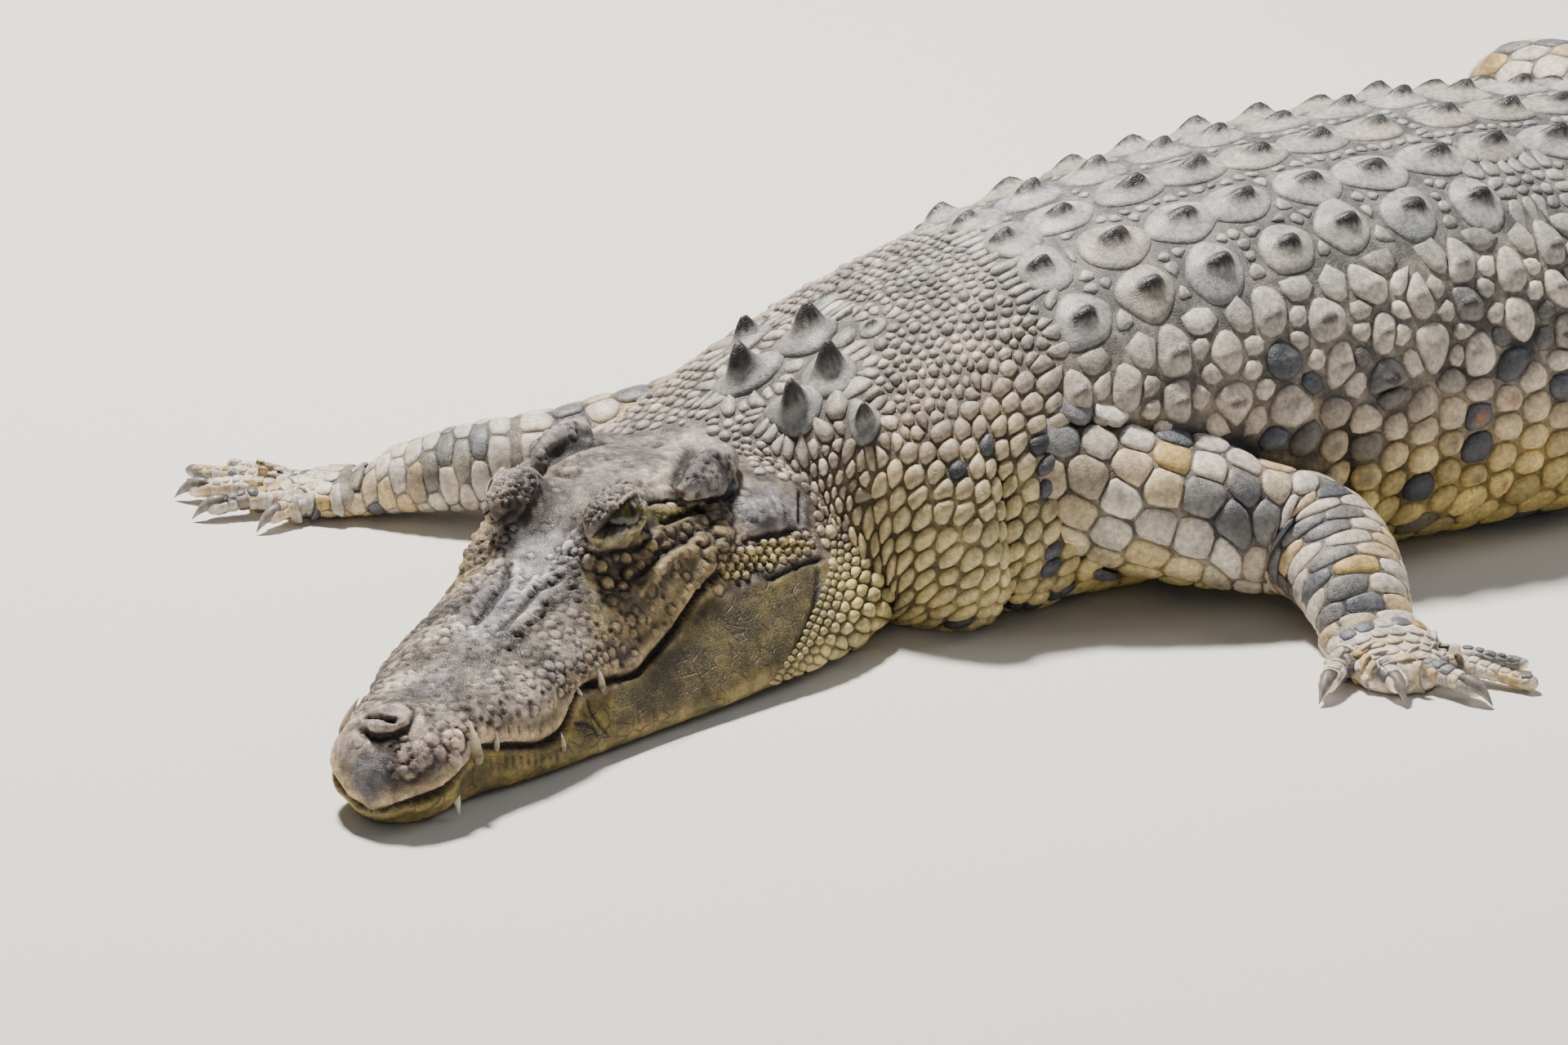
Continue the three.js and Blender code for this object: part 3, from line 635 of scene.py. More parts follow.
@dataclass(frozen=True)
class Spine:
    """The line that the body lies along, seen from above, from the nape to the tip of the tail."""

    stations: tuple[tuple[float, float], ...] = (
        (0.003, -0.072), (-0.005, 0.020), (-0.003, 0.120), (0.0, 0.240), (0.0, 0.470), (0.0, 0.760),
        (0.004, 1.0), (0.026, 1.230), (0.092, 1.480), (0.160, 1.740), (0.170, 2.010), (0.096, 2.280),
        (-0.040, 2.510), (-0.170, 2.650),
    )

    def stretched(self) -> Array:
        """The stations in the frame, the two inside the head included."""
        inside = [in_head_raw(NAPE + LEAD_IN, 0.02, 0.0)[:2], in_head_raw(NAPE, 0.02, 0.0)[:2]]
        return np.array([*inside, *self.stations]) + HOME[:2]

    def curve(self, per_span: int = 60) -> Array:
        """A smooth curve through the stations whose tangents keep to their spacing."""
        p = self.stretched()
        p = np.concatenate([[2 * p[0] - p[1]], p, [2 * p[-1] - p[-2]]])
        out = []
        for p0, p1, p2, p3 in zip(p, p[1:], p[2:], p[3:]):
            spans = ((p0, p1), (p1, p2), (p2, p3))
            d0, d1, d2 = (max(np.linalg.norm(b - a) ** 0.5, 1e-6) for a, b in spans)
            m1 = ((p1 - p0) / d0 - (p2 - p0) / (d0 + d1) + (p2 - p1) / d1) * d1
            m2 = ((p2 - p1) / d1 - (p3 - p1) / (d1 + d2) + (p3 - p2) / d2) * d1
            t = np.linspace(0, 1, per_span, endpoint=False)[:, None]
            out.append(
                p1 * (2 * t**3 - 3 * t**2 + 1) + p2 * (3 * t**2 - 2 * t**3)
                + m1 * (t**3 - 2 * t**2 + t) + m2 * (t**3 - t**2)
            )
        return np.concatenate([*out, p[-2:-1]])

    def frames(self, distances: Array) -> tuple[Array, Array]:
        """Places and backward directions at distances behind the nape."""
        curve = self.curve()
        run = run_along(curve) - LEAD_IN * HEAD_LENGTH
        flat = walked(curve, run, distances)
        ahead = distances < run[0]
        start = unit(curve[1] - curve[0])
        flat[ahead] = curve[0] + start * (distances[ahead] - run[0])[:, None]
        at = np.concatenate([flat, np.zeros((len(flat), 1))], axis=1)
        return at, unit(np.gradient(at, distances, axis=0))


def body_sheet() -> Sheet:
    """Neck, trunk and tail unrolled, with the back of the head in front of them."""
    u = np.arange(-0.06, TAIL_START + TAIL_LENGTH - 0.004, 0.009)
    centres, along = Spine().frames(u)
    centres[:, 2] = np.interp(u, *np.array(BODY_MIDDLE).T)
    nodes = (*FLESH_OF_BODY, *FLESH_OF_HEAD)
    sheet = Sheet.around(u, centres, along, nodes, 0.42, (2.6, 5.0), HIDE_DEPTH, peaks=6)
    share = np.abs(np.linspace(-1, 1, sheet.surface.shape[1]))[None]
    at = sheet.u[:, None]
    lift = np.zeros((len(u), sheet.surface.shape[1]))
    for place_of, slant, width, height, start in FOLDS:
        bell = np.exp(-(((at - place_of - slant * share) / width) ** 2))
        lift += height * bell * ease(share, start, start + 0.14)
    lift *= 1 - ease(share, 0.84, 0.95)
    return Sheet.unrolled(u, (sheet.surface + sheet.normal_grid * lift[..., None])[:, :-1])


def head_sheet() -> Sheet:
    """Skull, snout and jaw unrolled round a level line from the nape to the tip of the snout."""
    share = np.concatenate([np.linspace(-0.16, 0.9, 82), np.linspace(0.908, 0.996, 16)])[::-1]
    height = np.interp(share, [-0.16, 0.5, 0.8, 1.0], [0.15, 0.12, 0.1, 0.075])
    centres = in_head(share, np.zeros_like(share), height)
    along = np.repeat(-HEAD_AHEAD[None], len(share), axis=0)
    return Sheet.around(-share * HEAD_LENGTH, centres, along, FLESH_OF_HEAD, 0.3, (2.0, 2.4), HEAD_DEPTH)


# ---------- limbs ----------
@dataclass(frozen=True)
class Digit:
    """A finger or toe, seen from above, before the frame's own origin is taken into account."""

    root: tuple[float, float]
    tip: tuple[float, float]
    thick: float
    claw: str = ""

    def ends(self) -> tuple[Array, Array]:
        """Root and tip in the frame."""
        return np.array(self.root) + HOME[:2], np.array(self.tip) + HOME[:2]

    def line(self, steps: int) -> Array:
        """Points from the root to the tip, or to the claw's foot, arched over the ground."""
        root, tip = self.ends()
        end = CLAW_LENGTH * 0.75 if self.claw else 0.0
        share = np.linspace(0, 1 - end / np.linalg.norm(tip - root), steps)
        flat = root + (tip - root) * share[:, None]
        arch = self.thick * (0.95 + 0.55 * np.sin(math.pi * np.clip(share * 1.15, 0, 1)))
        return np.column_stack([flat, arch])


@dataclass(frozen=True)
class Palm:
    """The flat of a hand or foot, from the wrist to the roots of the digits."""

    start: tuple[float, float, float]
    end: tuple[float, float, float]
    half_width: float


@dataclass
class Limb:
    """An arm or leg: its bones' line, its hand or foot, and the skin round them.

    Attributes:
        name: arm or leg, and its side.
        nodes: the CAD nodes of its flesh.
        line: points along the middle of the bones, from inside the trunk to the wrist.
        palm: the flat of the hand or foot.
        digits: the fingers or toes, the first one nearest to the head.
    """

    name: str
    nodes: tuple[str, ...]
    line: tuple[tuple[float, float, float], ...]
    palm: Palm
    digits: tuple[Digit, ...]

    def __post_init__(self) -> None:
        """Unrolls the limb's surface."""
        places = np.array(self.line) + HOME
        steps = np.linspace(0, len(places) - 1, 200)
        curve = gaussian_rows(walked(places, range(len(places)), steps), 9.0)
        u, centres, along = self.paced(curve, 0.005, 5.0)
        nodes = [name for name in self.nodes if "hand" not in name and "foot" not in name]
        sheet = Sheet.around(u, centres, along, nodes, 0.14, (3.0, 7.0), LIMB_DEPTH, columns=91)
        low = 1 - WRIST_DROP * ease(u, u[-1] - WRIST_LENGTH, u[-1])
        rings = sheet.surface[:, :-1].copy()
        rings[..., 2] *= low[:, None]
        self.sheet = Sheet.unrolled(u, rings)

    @staticmethod
    def paced(path: Array, step: float, smooth: float) -> tuple[Array, Array, Array]:
        """Distances along a path at even steps, with its points and directions there."""
        run = run_along(path)
        u = np.arange(0, run[-1], step)
        centres = walked(path, run, u)
        return u, centres, unit(gaussian_rows(np.gradient(centres, axis=0), smooth))

    def palm_line(self) -> tuple[Array, Array, Array]:
        """The wrist, and where the palm starts and ends."""
        start, end = np.array(self.palm.start) + HOME, np.array(self.palm.end) + HOME
        return self.sheet.surface[-4].mean(axis=0), start, end

    def tubes(self) -> list[Sheet]:
        """Palm and digits unrolled, the palm first."""
        wrist, start, end = self.palm_line()
        lines = [(np.array([wrist, start, end + (end - start) * 0.35]), self.palm.half_width * 0.95, 0.5)]
        for digit in self.digits:
            lines.append((digit.line(9), digit.thick, 0.92))
        made = []
        turn = np.linspace(-math.pi, math.pi, 37)[:-1]
        for line, thick, flatness in lines:
            u, centres, along = self.paced(line, 0.003, 2.0)
            left = unit(np.cross(along, UP))
            ring = rings_round(np.cross(left, along) * flatness, left, np.cos(turn), np.sin(turn))
            wide = thick * np.linspace(1.05, 0.8, len(u)) if flatness > 0.9 else np.full(len(u), thick)
            made.append(Sheet.unrolled(u, centres[:, None] + ring * wide[:, None, None]))
        return made

    def flesh(self) -> Flesh:
        """The limb's skin: arm or leg, palm and digits under one surface."""
        parts = [self.sheet.solid(0.004, self.sheet.u[-1] - 0.002, 64, 0.006)]
        wrist, start, end = self.palm_line()
        path = np.array([wrist, start, (start + end) / 2, end])
        wide = self.palm.half_width
        parts.append(swept(path, np.array([0.5, 0.86, 0.98, 0.8]) * wide, 0.5, 32))
        for digit in self.digits:
            swell = 1.0 + 0.1 * np.cos(np.linspace(0, 4 * math.pi, 7))
            parts.append(swept(digit.line(7), digit.thick * np.linspace(1.12, 0.8, 7) * swell, 0.92, 16))
        whole = smoothed(remeshed(joined(parts), LIMB_VOXEL), 6)
        on_ground(whole.points, LOWEST_LIMB)
        return whole


def limbs() -> list[Limb]:
    """The two arms and the two legs."""
    return [
        Limb(
            "arm_left",
            ("upper_arm_left", "forearm_left", "hand_left"),
            ((0.120, 0.100, 0.116), (0.172, 0.172, 0.092), (0.214, 0.248, 0.072), (0.236, 0.302, 0.060),
             (0.262, 0.308, 0.055), (0.318, 0.296, 0.042), (0.360, 0.286, 0.028), (0.388, 0.281, 0.021)),
            Palm((0.368, 0.284, 0.020), (0.416, 0.278, 0.011), 0.047),
            (Digit((0.388, 0.252), (0.438, 0.194), 0.010, "claw_hand_left_1"),
             Digit((0.408, 0.264), (0.470, 0.254), 0.010, "claw_hand_left_2"),
             Digit((0.412, 0.284), (0.500, 0.314), 0.010, "claw_hand_left_3"),
             Digit((0.406, 0.302), (0.484, 0.360), 0.008),
             Digit((0.394, 0.312), (0.446, 0.378), 0.007)),
        ),
        Limb(
            "arm_right",
            ("upper_arm_right", "forearm_right", "hand_right"),
            ((-0.108, 0.030, 0.098), (-0.155, -0.050, 0.072), (-0.185, -0.125, 0.054),
             (-0.204, -0.182, 0.048), (-0.222, -0.226, 0.046), (-0.246, -0.262, 0.038),
             (-0.276, -0.304, 0.026), (-0.292, -0.326, 0.020)),
            Palm((-0.280, -0.312, 0.020), (-0.318, -0.352, 0.011), 0.040),
            (Digit((-0.290, -0.348), (-0.266, -0.412), 0.010, "claw_hand_right_1"),
             Digit((-0.308, -0.358), (-0.320, -0.450), 0.010, "claw_hand_right_2"),
             Digit((-0.322, -0.356), (-0.376, -0.446), 0.010, "claw_hand_right_3"),
             Digit((-0.332, -0.344), (-0.420, -0.414), 0.008),
             Digit((-0.334, -0.330), (-0.422, -0.376), 0.007)),
        ),
        Limb(
            "leg_left",
            ("thigh_left", "shank_left", "foot_left"),
            ((0.100, 1.020, 0.132), (0.190, 1.000, 0.134), (0.274, 0.966, 0.132), (0.340, 0.934, 0.125),
             (0.374, 0.954, 0.110), (0.394, 1.020, 0.080), (0.406, 1.094, 0.044), (0.416, 1.134, 0.031)),
            Palm((0.408, 1.112, 0.030), (0.496, 1.126, 0.013), 0.050),
            (Digit((0.476, 1.092), (0.594, 1.030), 0.012, "claw_foot_left_1"),
             Digit((0.492, 1.112), (0.630, 1.084), 0.012, "claw_foot_left_2"),
             Digit((0.496, 1.134), (0.636, 1.154), 0.012, "claw_foot_left_3"),
             Digit((0.486, 1.156), (0.600, 1.218), 0.009)),
        ),
        Limb(
            "leg_right",
            ("thigh_right", "shank_right", "foot_right"),
            ((-0.100, 1.010, 0.140), (-0.200, 0.976, 0.160), (-0.300, 0.944, 0.178), (-0.390, 0.922, 0.178),
             (-0.428, 0.944, 0.158), (-0.460, 1.004, 0.108), (-0.482, 1.066, 0.050), (-0.492, 1.106, 0.032)),
            Palm((-0.482, 1.084, 0.030), (-0.568, 1.106, 0.013), 0.050),
            (Digit((-0.550, 1.070), (-0.670, 1.018), 0.012, "claw_foot_right_1"),
             Digit((-0.564, 1.092), (-0.702, 1.072), 0.012, "claw_foot_right_2"),
             Digit((-0.568, 1.114), (-0.706, 1.142), 0.012, "claw_foot_right_3"),
             Digit((-0.556, 1.136), (-0.668, 1.204), 0.009)),
        ),
    ]


# ---------- the camera ----------
def aimed(name: str, data: bpy.types.ID, at: Point, target: Point) -> bpy.types.Object:
    """A camera or lamp that stands at one point and looks at another."""
    made = linked(name, data)
    made.location = at
    made.rotation_euler = (Vector(target) - Vector(at)).to_track_quat("-Z", "Y").to_euler()
    return made


@dataclass(frozen=True)
class Viewpoint:
    """Where the camera stands and looks, and how a place in its frame is found on a surface."""

    position: tuple[float, float, float] = (3.459, -2.738, 1.505)
    target: tuple[float, float, float] = (-0.065, -1.019, 0.0)
    lens: float = 114.4  # mm
    frame_size: tuple[float, float] = (1920.0, 1279.0)

    SENSOR = 36.0  # mm, the sensor's width

    def axes(self) -> tuple[Array, Array, Array]:
        """The camera's right, up and backward directions."""
        back = unit(np.array(self.position) - np.array(self.target))
        right = unit(np.cross(UP, back))
        return right, np.cross(back, right), back

    @property
    def focal(self) -> float:
        """The lens's length in steps of the frame."""
        return self.lens / self.SENSOR * self.frame_size[0]

    def cast(self, across: float, down: float, tree: BVHTree) -> Array | None:
        """The point of a surface seen at a place in the frame, counted from its top left corner."""
        right, over, back = self.axes()
        x = (across - self.frame_size[0] / 2) / self.focal
        y = (self.frame_size[1] / 2 - down) / self.focal
        hit = tree.ray_cast(Vector(self.position), Vector(unit(right * x + over * y - back)))
        return None if hit[0] is None else np.array(hit[0])

    def project(self, points: Array) -> Array:
        """Places in the frame of points, counted from its top left corner."""
        right, over, back = self.axes()
        offset = points - np.array(self.position)
        depth = -(offset @ back)
        across = self.frame_size[0] / 2 + self.focal * (offset @ right) / depth
        return np.column_stack([across, self.frame_size[1] / 2 - self.focal * (offset @ over) / depth])

    def build(self) -> None:
        """Makes the camera."""
        data = bpy.data.cameras.new("camera")
        data.lens = self.lens
        data.sensor_width = self.SENSOR
        data.clip_end = 60.0
        bpy.context.scene.camera = aimed("camera", data, self.position, self.target)


# ---------- modelling by strokes ---------------
@dataclass
class Clay:
    """A fine skin that is worked by strokes and knobs laid on its surface.

    Attributes:
        flesh: the skin.
        view: the viewpoint that places in the frame are given from.
    """

    flesh: Flesh
    view: Viewpoint
    lift: Array = field(init=False)
    # painted shade of grooves, creases and pits, later laid into the skin's Dark attribute
    dark: Array = field(init=False)

    PACE = 0.002  # how finely a path is walked

    def __post_init__(self) -> None:
        """Prepares the search trees."""
        self.dark = np.zeros(len(self.flesh.points))
        self.renew()

    def renew(self) -> None:
        """Measures the skin again after it was changed."""
        self.normals = self.flesh.normals()
        self.lift = np.zeros(len(self.flesh.points))
        self.tree = tree_from(self.flesh)

    def settle(self) -> None:
        """Moves the skin by what the strokes asked for, and starts afresh."""
        self.flesh = Flesh(self.flesh.points + self.normals * self.lift[:, None], self.flesh.faces)
        self.renew()

    def seen(self, places: Sequence[tuple[float, float]]) -> Array:
        """Points of the skin at places in the frame."""
        hits = [self.view.cast(x, y, self.tree) for x, y in places]
        return np.array([hit for hit in hits if hit is not None]).reshape(-1, 3)

    def snapped(self, points: Array) -> Array:
        """The nearest points of the skin."""
        return np.array([self.tree.find_nearest(Vector(point))[0] for point in points])

    def both(self, path: Array) -> list[Array]:
        """A path and its mirror image on the other side of the head."""
        return [path, self.snapped(flipped(path))]

    def near(self, path: Array, reach: float) -> tuple[Array, Array, Array]:
        """Which points lie near a path, how far, and how far along it.

        Args:
            path: points of the path.
            reach: the greatest distance.

        Returns:
            The points' numbers, their distances, and their share of the path from 0 to 1.
        """
        if len(path) > 1:
            run = run_along(path)
            fine = walked(path, run, np.linspace(0, run[-1], max(2, int(run[-1] / self.PACE) + 1)))
            if len(fine) > 8:
                ends = fine[[0, -1]]
                fine = gaussian_rows(fine, min(2.5, len(fine) / 12))
                fine[[0, -1]] = ends
            fine = self.snapped(fine)
        else:
            fine = path
        p = self.flesh.points
        low, high = fine.min(axis=0) - reach, fine.max(axis=0) + reach
        inside = np.flatnonzero(np.all((p > low) & (p < high), axis=1))
        if not len(inside):
            return inside, np.zeros(0), np.zeros(0)
        best = np.full(len(inside), np.inf)
        where = np.zeros(len(inside))
        for i, point in enumerate(fine):
            distance = np.linalg.norm(p[inside] - point, axis=1)
            closer = distance < best
            best[closer] = distance[closer]
            where[closer] = i / max(len(fine) - 1, 1)
        keep = best < reach
        return inside[keep], best[keep], where[keep]

    def stroke(self, path: Array, width: float, height: float, dark: float = 0.0, taper: float = 0.2) -> None:
        """A rounded ridge along a path, or a groove where the height is negative.

        Args:
            path: points of the path.
            width: the half width at which it has fallen to a third.
            height: how far it stands out.
            dark: how dark the painted shade along it is, from 0 to 1.
            taper: the share of the path at either end over which it fades.
        """
        if not len(path):
            return
        index, distance, where = self.near(path, width * 2.6)
        fade = ease(where, -0.02, taper) * ease(1 - where, -0.02, taper) if taper else 1.0
        weight = np.exp(-((distance / width) ** 2)) * fade
        self.lift[index] += height * weight
        if dark:
            self.dark[index] = np.maximum(self.dark[index], dark * weight)

    def strokes(self, strokes: Iterable[Stroke], paired: bool) -> None:
        """Strokes given by places in the frame and in mm, on both sides of the head where they are paired."""
        for path, width, height, dark in strokes:
            seen = self.seen(path)
            for side in self.both(seen) if paired else [seen]:
                self.stroke(side, width * MM, height * MM, dark)

    def lumps(self, lumps: Iterable[tuple[float, float, float, float]]) -> None:
        """Lumps on both sides of the head: place in the frame, and radius and height in mm."""
        for x, y, radius, height in lumps:
            for at in self.both(self.seen([(x, y)])):
                if len(at):
                    self.knob(at[0], radius * MM, height * MM)

    def knob(self, at: Array, radius: float, height: float, rim: float = 0.35) -> None:
        """A rounded lump with a crease round its foot, the crease darkened as painted shade."""
        index, distance, _ = self.near(at.reshape(1, 3), radius * 1.6)
        share = distance / radius
        dome = np.sqrt(np.clip(1 - share**2, 0, 1))
        crease = np.exp(-(((share - 1.08) / 0.22) ** 2))
        self.lift[index] += height * (dome - rim * crease)
        self.dark[index] = np.maximum(self.dark[index], 0.55 * rim * crease)


def inside_distance(points: Array, corners: Sequence[tuple[float, float]]) -> Array:
    """Signed distance of flat points to a closed outline, positive inside it."""
    ring = np.array(corners, dtype=float)
    following = np.roll(ring, -1, axis=0)
    best = np.full(len(points), np.inf)
    inside = np.zeros(len(points), dtype=bool)
    for a, b in zip(ring, following):
        edge = b - a
        share = np.clip(((points - a) @ edge) / (edge @ edge), 0, 1)
        best = np.minimum(best, np.linalg.norm(points - a - share[:, None] * edge, axis=1))
        crosses = (a[1] > points[:, 1]) != (b[1] > points[:, 1])
        rise = np.where(b[1] == a[1], 1e-9, b[1] - a[1])
        at = a[0] + (points[:, 1] - a[1]) * (b[0] - a[0]) / rise
        inside ^= crosses & (points[:, 0] < at)
    return np.where(inside, best, -best)


def fractal(points: Array, scale: float, octaves: int = 4, rough: float = 0.9) -> Array:
    """Smooth random values, about -1 to 1, that change over the given length."""
    return np.array([noise.fractal(Vector(p), rough, 2.1, octaves) for p in points / scale])


# ---------- the head's skin ----------
@dataclass
class HeadForm:
    """The skin of head and nape, modelled from its large forms down to its bumps and folds.

    Attributes:
        head: the head unrolled.
        body: the body unrolled, for the nape.
        view: the viewpoint that places in the frame are given from.
        voxel: the width of the skin's faces.
        meet: where on the body this skin ends.
    """

    head: Sheet
    body: Sheet
    view: Viewpoint
    voxel: float = 0.0020
    meet: float = 0.150

    # outline of the gap between the left eye's lids, in the frame
    EYE_GAP = (
        (725, 658), (730, 648), (737, 638), (748, 626.5), (764, 616), (774, 609), (780, 607), (784, 617),
        (783, 630), (777, 641), (765, 649), (751, 654), (737, 657),
    )
    TRIES = 1500  # places tried for the small bumps
    BUMP_ROOM = 0.0068  # least distance between two of them
    BUMP_SHARE = 0.72  # the others are pits
    EYE_REGION = 0.052  # the skin round an eye's middle that its lids are made of
    LOOK = np.array([0.75, 0.55, 0.37])  # where the left eye faces: ahead, left, up
    LID = 14  # the lids' width in the frame
    JOWL_EDGE = ((1002, 690), (1001, 734), (990, 768), (962, 815), (931, 848), (905, 872))
    MOUTH = (
        (455, 995), (480, 990), (500, 983), (523, 975), (545, 966), (562, 950), (577, 932), (585, 916),
        (602, 915), (630, 913), (662, 912), (684, 900), (694, 886), (700, 866), (707, 848), (722, 838),
        (745, 832), (780, 825), (808, 792), (830, 766), (845, 741), (858, 723), (873, 708), (888, 692),
    )

    def rough(self) -> Flesh:
        """Skull, snout, jaw and nape under one skin, still smooth."""
        parts = [
            self.head.solid(-0.996 * HEAD_LENGTH, 0.155 * HEAD_LENGTH, 240, 0.003, (0.0, 0.02)),
            self.body.solid(-0.03, self.meet, 240, 0.005, (0.03, 0.02)),
        ]
        lumps = [  # brows, corners of the skull table, and the disc of the nose: place, half axes
            lump for side in (-1, 1) for lump in (
                ((EYE_AT[0], side * 0.098, 0.333), (0.085, 0.045, 0.052)),
                ((0.060, side * 0.146, 0.328), (0.105, 0.031, 0.050)))
        ]
        lumps.append(((0.905, 0.0, 0.163), (0.055, 0.052, 0.027)))
        basis = np.array([HEAD_AHEAD, HEAD_LEFT, UP]) * HEAD_LENGTH
        for at, axes in lumps:
            parts.append(ball(in_head(*at), basis * np.array(axes)[:, None] * FIT, 40))
        return smoothed(remeshed(joined(parts), self.voxel), 9)

    def eye_centre(self, side: int) -> Array:
        """Middle of an eyeball, 1 for the left and -1 for the right."""
        return in_head(EYE_AT[0], side * EYE_AT[1], EYE_AT[2])

    def open_eyes(self, clay: Clay) -> None:
        """Sinks the skin inside the lids, so that the eyeballs show between them."""
        points = clay.flesh.points
        for side in (-1, 1):
            centre = self.eye_centre(side)
            offset = points - centre
            reach = np.linalg.norm(offset, axis=1)
            close = np.flatnonzero(reach < self.EYE_REGION)
            local = to_head(points[close])
            local[:, 1] *= side
            like_left = in_head(local[:, 0], local[:, 1], local[:, 2])
            normal = clay.normals[close]
            turned = np.column_stack([normal @ HEAD_AHEAD, side * (normal @ HEAD_LEFT), normal @ UP])
            facing = turned @ self.LOOK > -0.1
            outward = local[:, 1] > EYE_AT[1] - 0.035
            gap = inside_distance(self.view.project(like_left), self.EYE_GAP)
            chosen = close[(gap > 0) & facing & outward]
            deep = EYE_RADIUS - 0.0035
            points[chosen] = centre + unit(offset[chosen]) * np.minimum(reach[chosen], deep)[:, None]
            # the skin sunk between the lids is painted black: painted shade round the eyeball
            clay.dark[chosen] = 1.0
            rim = (gap <= 0) & (gap > -self.LID) & facing & outward
            lids = close[rim]
            want = EYE_RADIUS + 0.0012 + 0.0016 * hump(gap[rim], -3.0, 3.5)
            low = np.linalg.norm(points[lids] - centre, axis=1)
            lifted = np.maximum(low, want * (0.55 + 0.45 * ease(gap[rim], -self.LID, -6)))
            points[lids] = centre + unit(offset[lids]) * lifted[:, None]

    def strokes(self, clay: Clay) -> None:
        """Ridges, folds, slits and lumps of the head, first the large ones and then the small ones."""
        paired = (
            # path in the frame, half width and height in mm, darkness of the painted shade along it
            (((695, 701), (683, 708), (668, 716), (653, 725), (643, 739), (631, 751), (618, 764), (606, 777)),
             4.2, -5.0, 0.75),
            (((686, 722), (669, 735), (658, 746), (646, 757), (634, 770), (616, 792)), 6.0, 4.2, 0),
            (((690, 692), (668, 705), (650, 716), (636, 733), (622, 752)), 3.0, 1.8, 0),
            (((767, 737), (778, 725), (792, 713), (803, 703), (821, 684), (839, 675), (857, 672)),
             6.0, 6.0, 0),
            (((775, 712), (791, 696), (810, 678), (834, 665), (851, 655)), 3.0, -4.0, 0.6),
            (((786, 680), (795, 661), (816, 648), (839, 640), (857, 634), (868, 626)), 6.5, 6.0, 0),
            (((905, 626), (935, 626), (962, 629)), 14.0, 4.5, 0),
            (((979, 598), (980, 620), (979, 646)), 2.2, -3.5, 0.8),
            (((900, 664), (934, 657), (962, 651), (979, 647)), 2.8, -5.0, 0.85),
            (((934, 714), (960, 700), (994, 686), (1014, 683)), 2.6, -4.0, 0.8),
            (((714, 668), (722, 678), (737, 679), (752, 677), (774, 674), (790, 666), (800, 652)),
             2.2, -3.6, 0.9),
            (((728, 667), (751, 666), (775, 661), (790, 648)), 5.0, 2.0, 0.15),
            (((780, 612), (798, 614), (815, 613), (834, 612), (860, 613), (880, 611), (894, 606),
              (903, 596)), 2.0, -4.5, 1.0),
            (((803, 646), (818, 641), (832, 635), (850, 628), (868, 620)), 3.4, -7.0, 1.0),
            (((800, 628), (815, 626), (832, 621)), 6.5, 3.2, 0),
            (((772, 594), (795, 602), (815, 598), (835, 590)), 3.5, 2.0, 0),
            (((846, 540), (839, 560), (833, 578), (846, 592)), 6.5, -5.0, 0.45),
            (((862, 575), (872, 592), (886, 600)), 11.0, 6.0, 0),
            (((890, 563), (899, 575), (902, 590), (898, 603)), 2.4, 2.2, 0),
        )
        clay.strokes(paired, True)
        clay.settle()
        lumps = (
            (736, 693, 5.5, 3.6), (744, 713, 6.0, 3.2),
            (762, 717, 4.5, 3.5), (768, 703, 5.0, 4.2), (880, 630, 12.0, 3.0), (887, 650, 10.0, 3.0),
            (859, 660, 6.5, 3.2), (885, 667, 6.0, 3.0), (869, 677, 6.5, 2.6), (771, 591, 8.0, 4.5),
            (700, 716, 4.5, 3.0), (706, 731, 4.5, 2.5), (754, 682, 4.0, 2.0), (766, 683, 5.5, 2.6),
            (842, 647, 5.0, 2.4), (822, 652, 4.6, 2.0), (800, 668, 5.0, 2.4), (812, 697, 4.4, 2.0),
            (827, 683, 4.0, 2.0), (790, 716, 4.6, 2.0), (672, 736, 4.2, 2.4), (660, 748, 4.4, 2.6),
            (647, 759, 4.6, 2.6), (634, 773, 4.8, 2.8), (620, 790, 5.2, 3.0), (604, 796, 5.0, 2.2),
        )
        clay.lumps(lumps)
        rows = enumerate(np.arange(655, 712, 9.5))
        corner = np.array([(x + 5.5 * (row % 2), y) for row, y in rows for x in np.arange(884, 1000, 11.5)])
        for place_of in corner[inside_distance(corner, Markings.CORNER_TILES) > 0]:
            for at in clay.both(clay.seen([tuple(place_of)])):
                if len(at):
                    clay.knob(at[0], 0.0043, 0.0021, 0.9)
        near_only = (
            (696, 670, 6.8, 4.6), (722, 688, 6.5, 3.8), (513, 918, 7.5, 3.6), (495, 925, 5.0, 3.4),
            (556, 906, 10.0, 3.4), (478, 938, 3.2, 2.2), (556, 927, 6.0, 2.4), (540, 922, 6.0, 2.0),
            (530, 905, 6.0, 1.8), (500, 945, 6.0, 2.6), (522, 929, 6.0, 3.6), (512, 936, 6.0, 3.4),
        )
        far_only = ((590, 660, 6.0, 3.0), (582, 672, 5.0, 3.0), (574, 691, 8.5, 5.0), (585, 710, 4.6, 3.0),
                    (574, 722, 4.6, 2.6), (566, 742, 4.4, 2.2))
        for x, y, radius, height in (*near_only, *far_only):
            for at in clay.seen([(x, y)]):
                clay.knob(at, radius * MM, (0.45 if x < 545 else 0.8) * height * MM, 0.14)
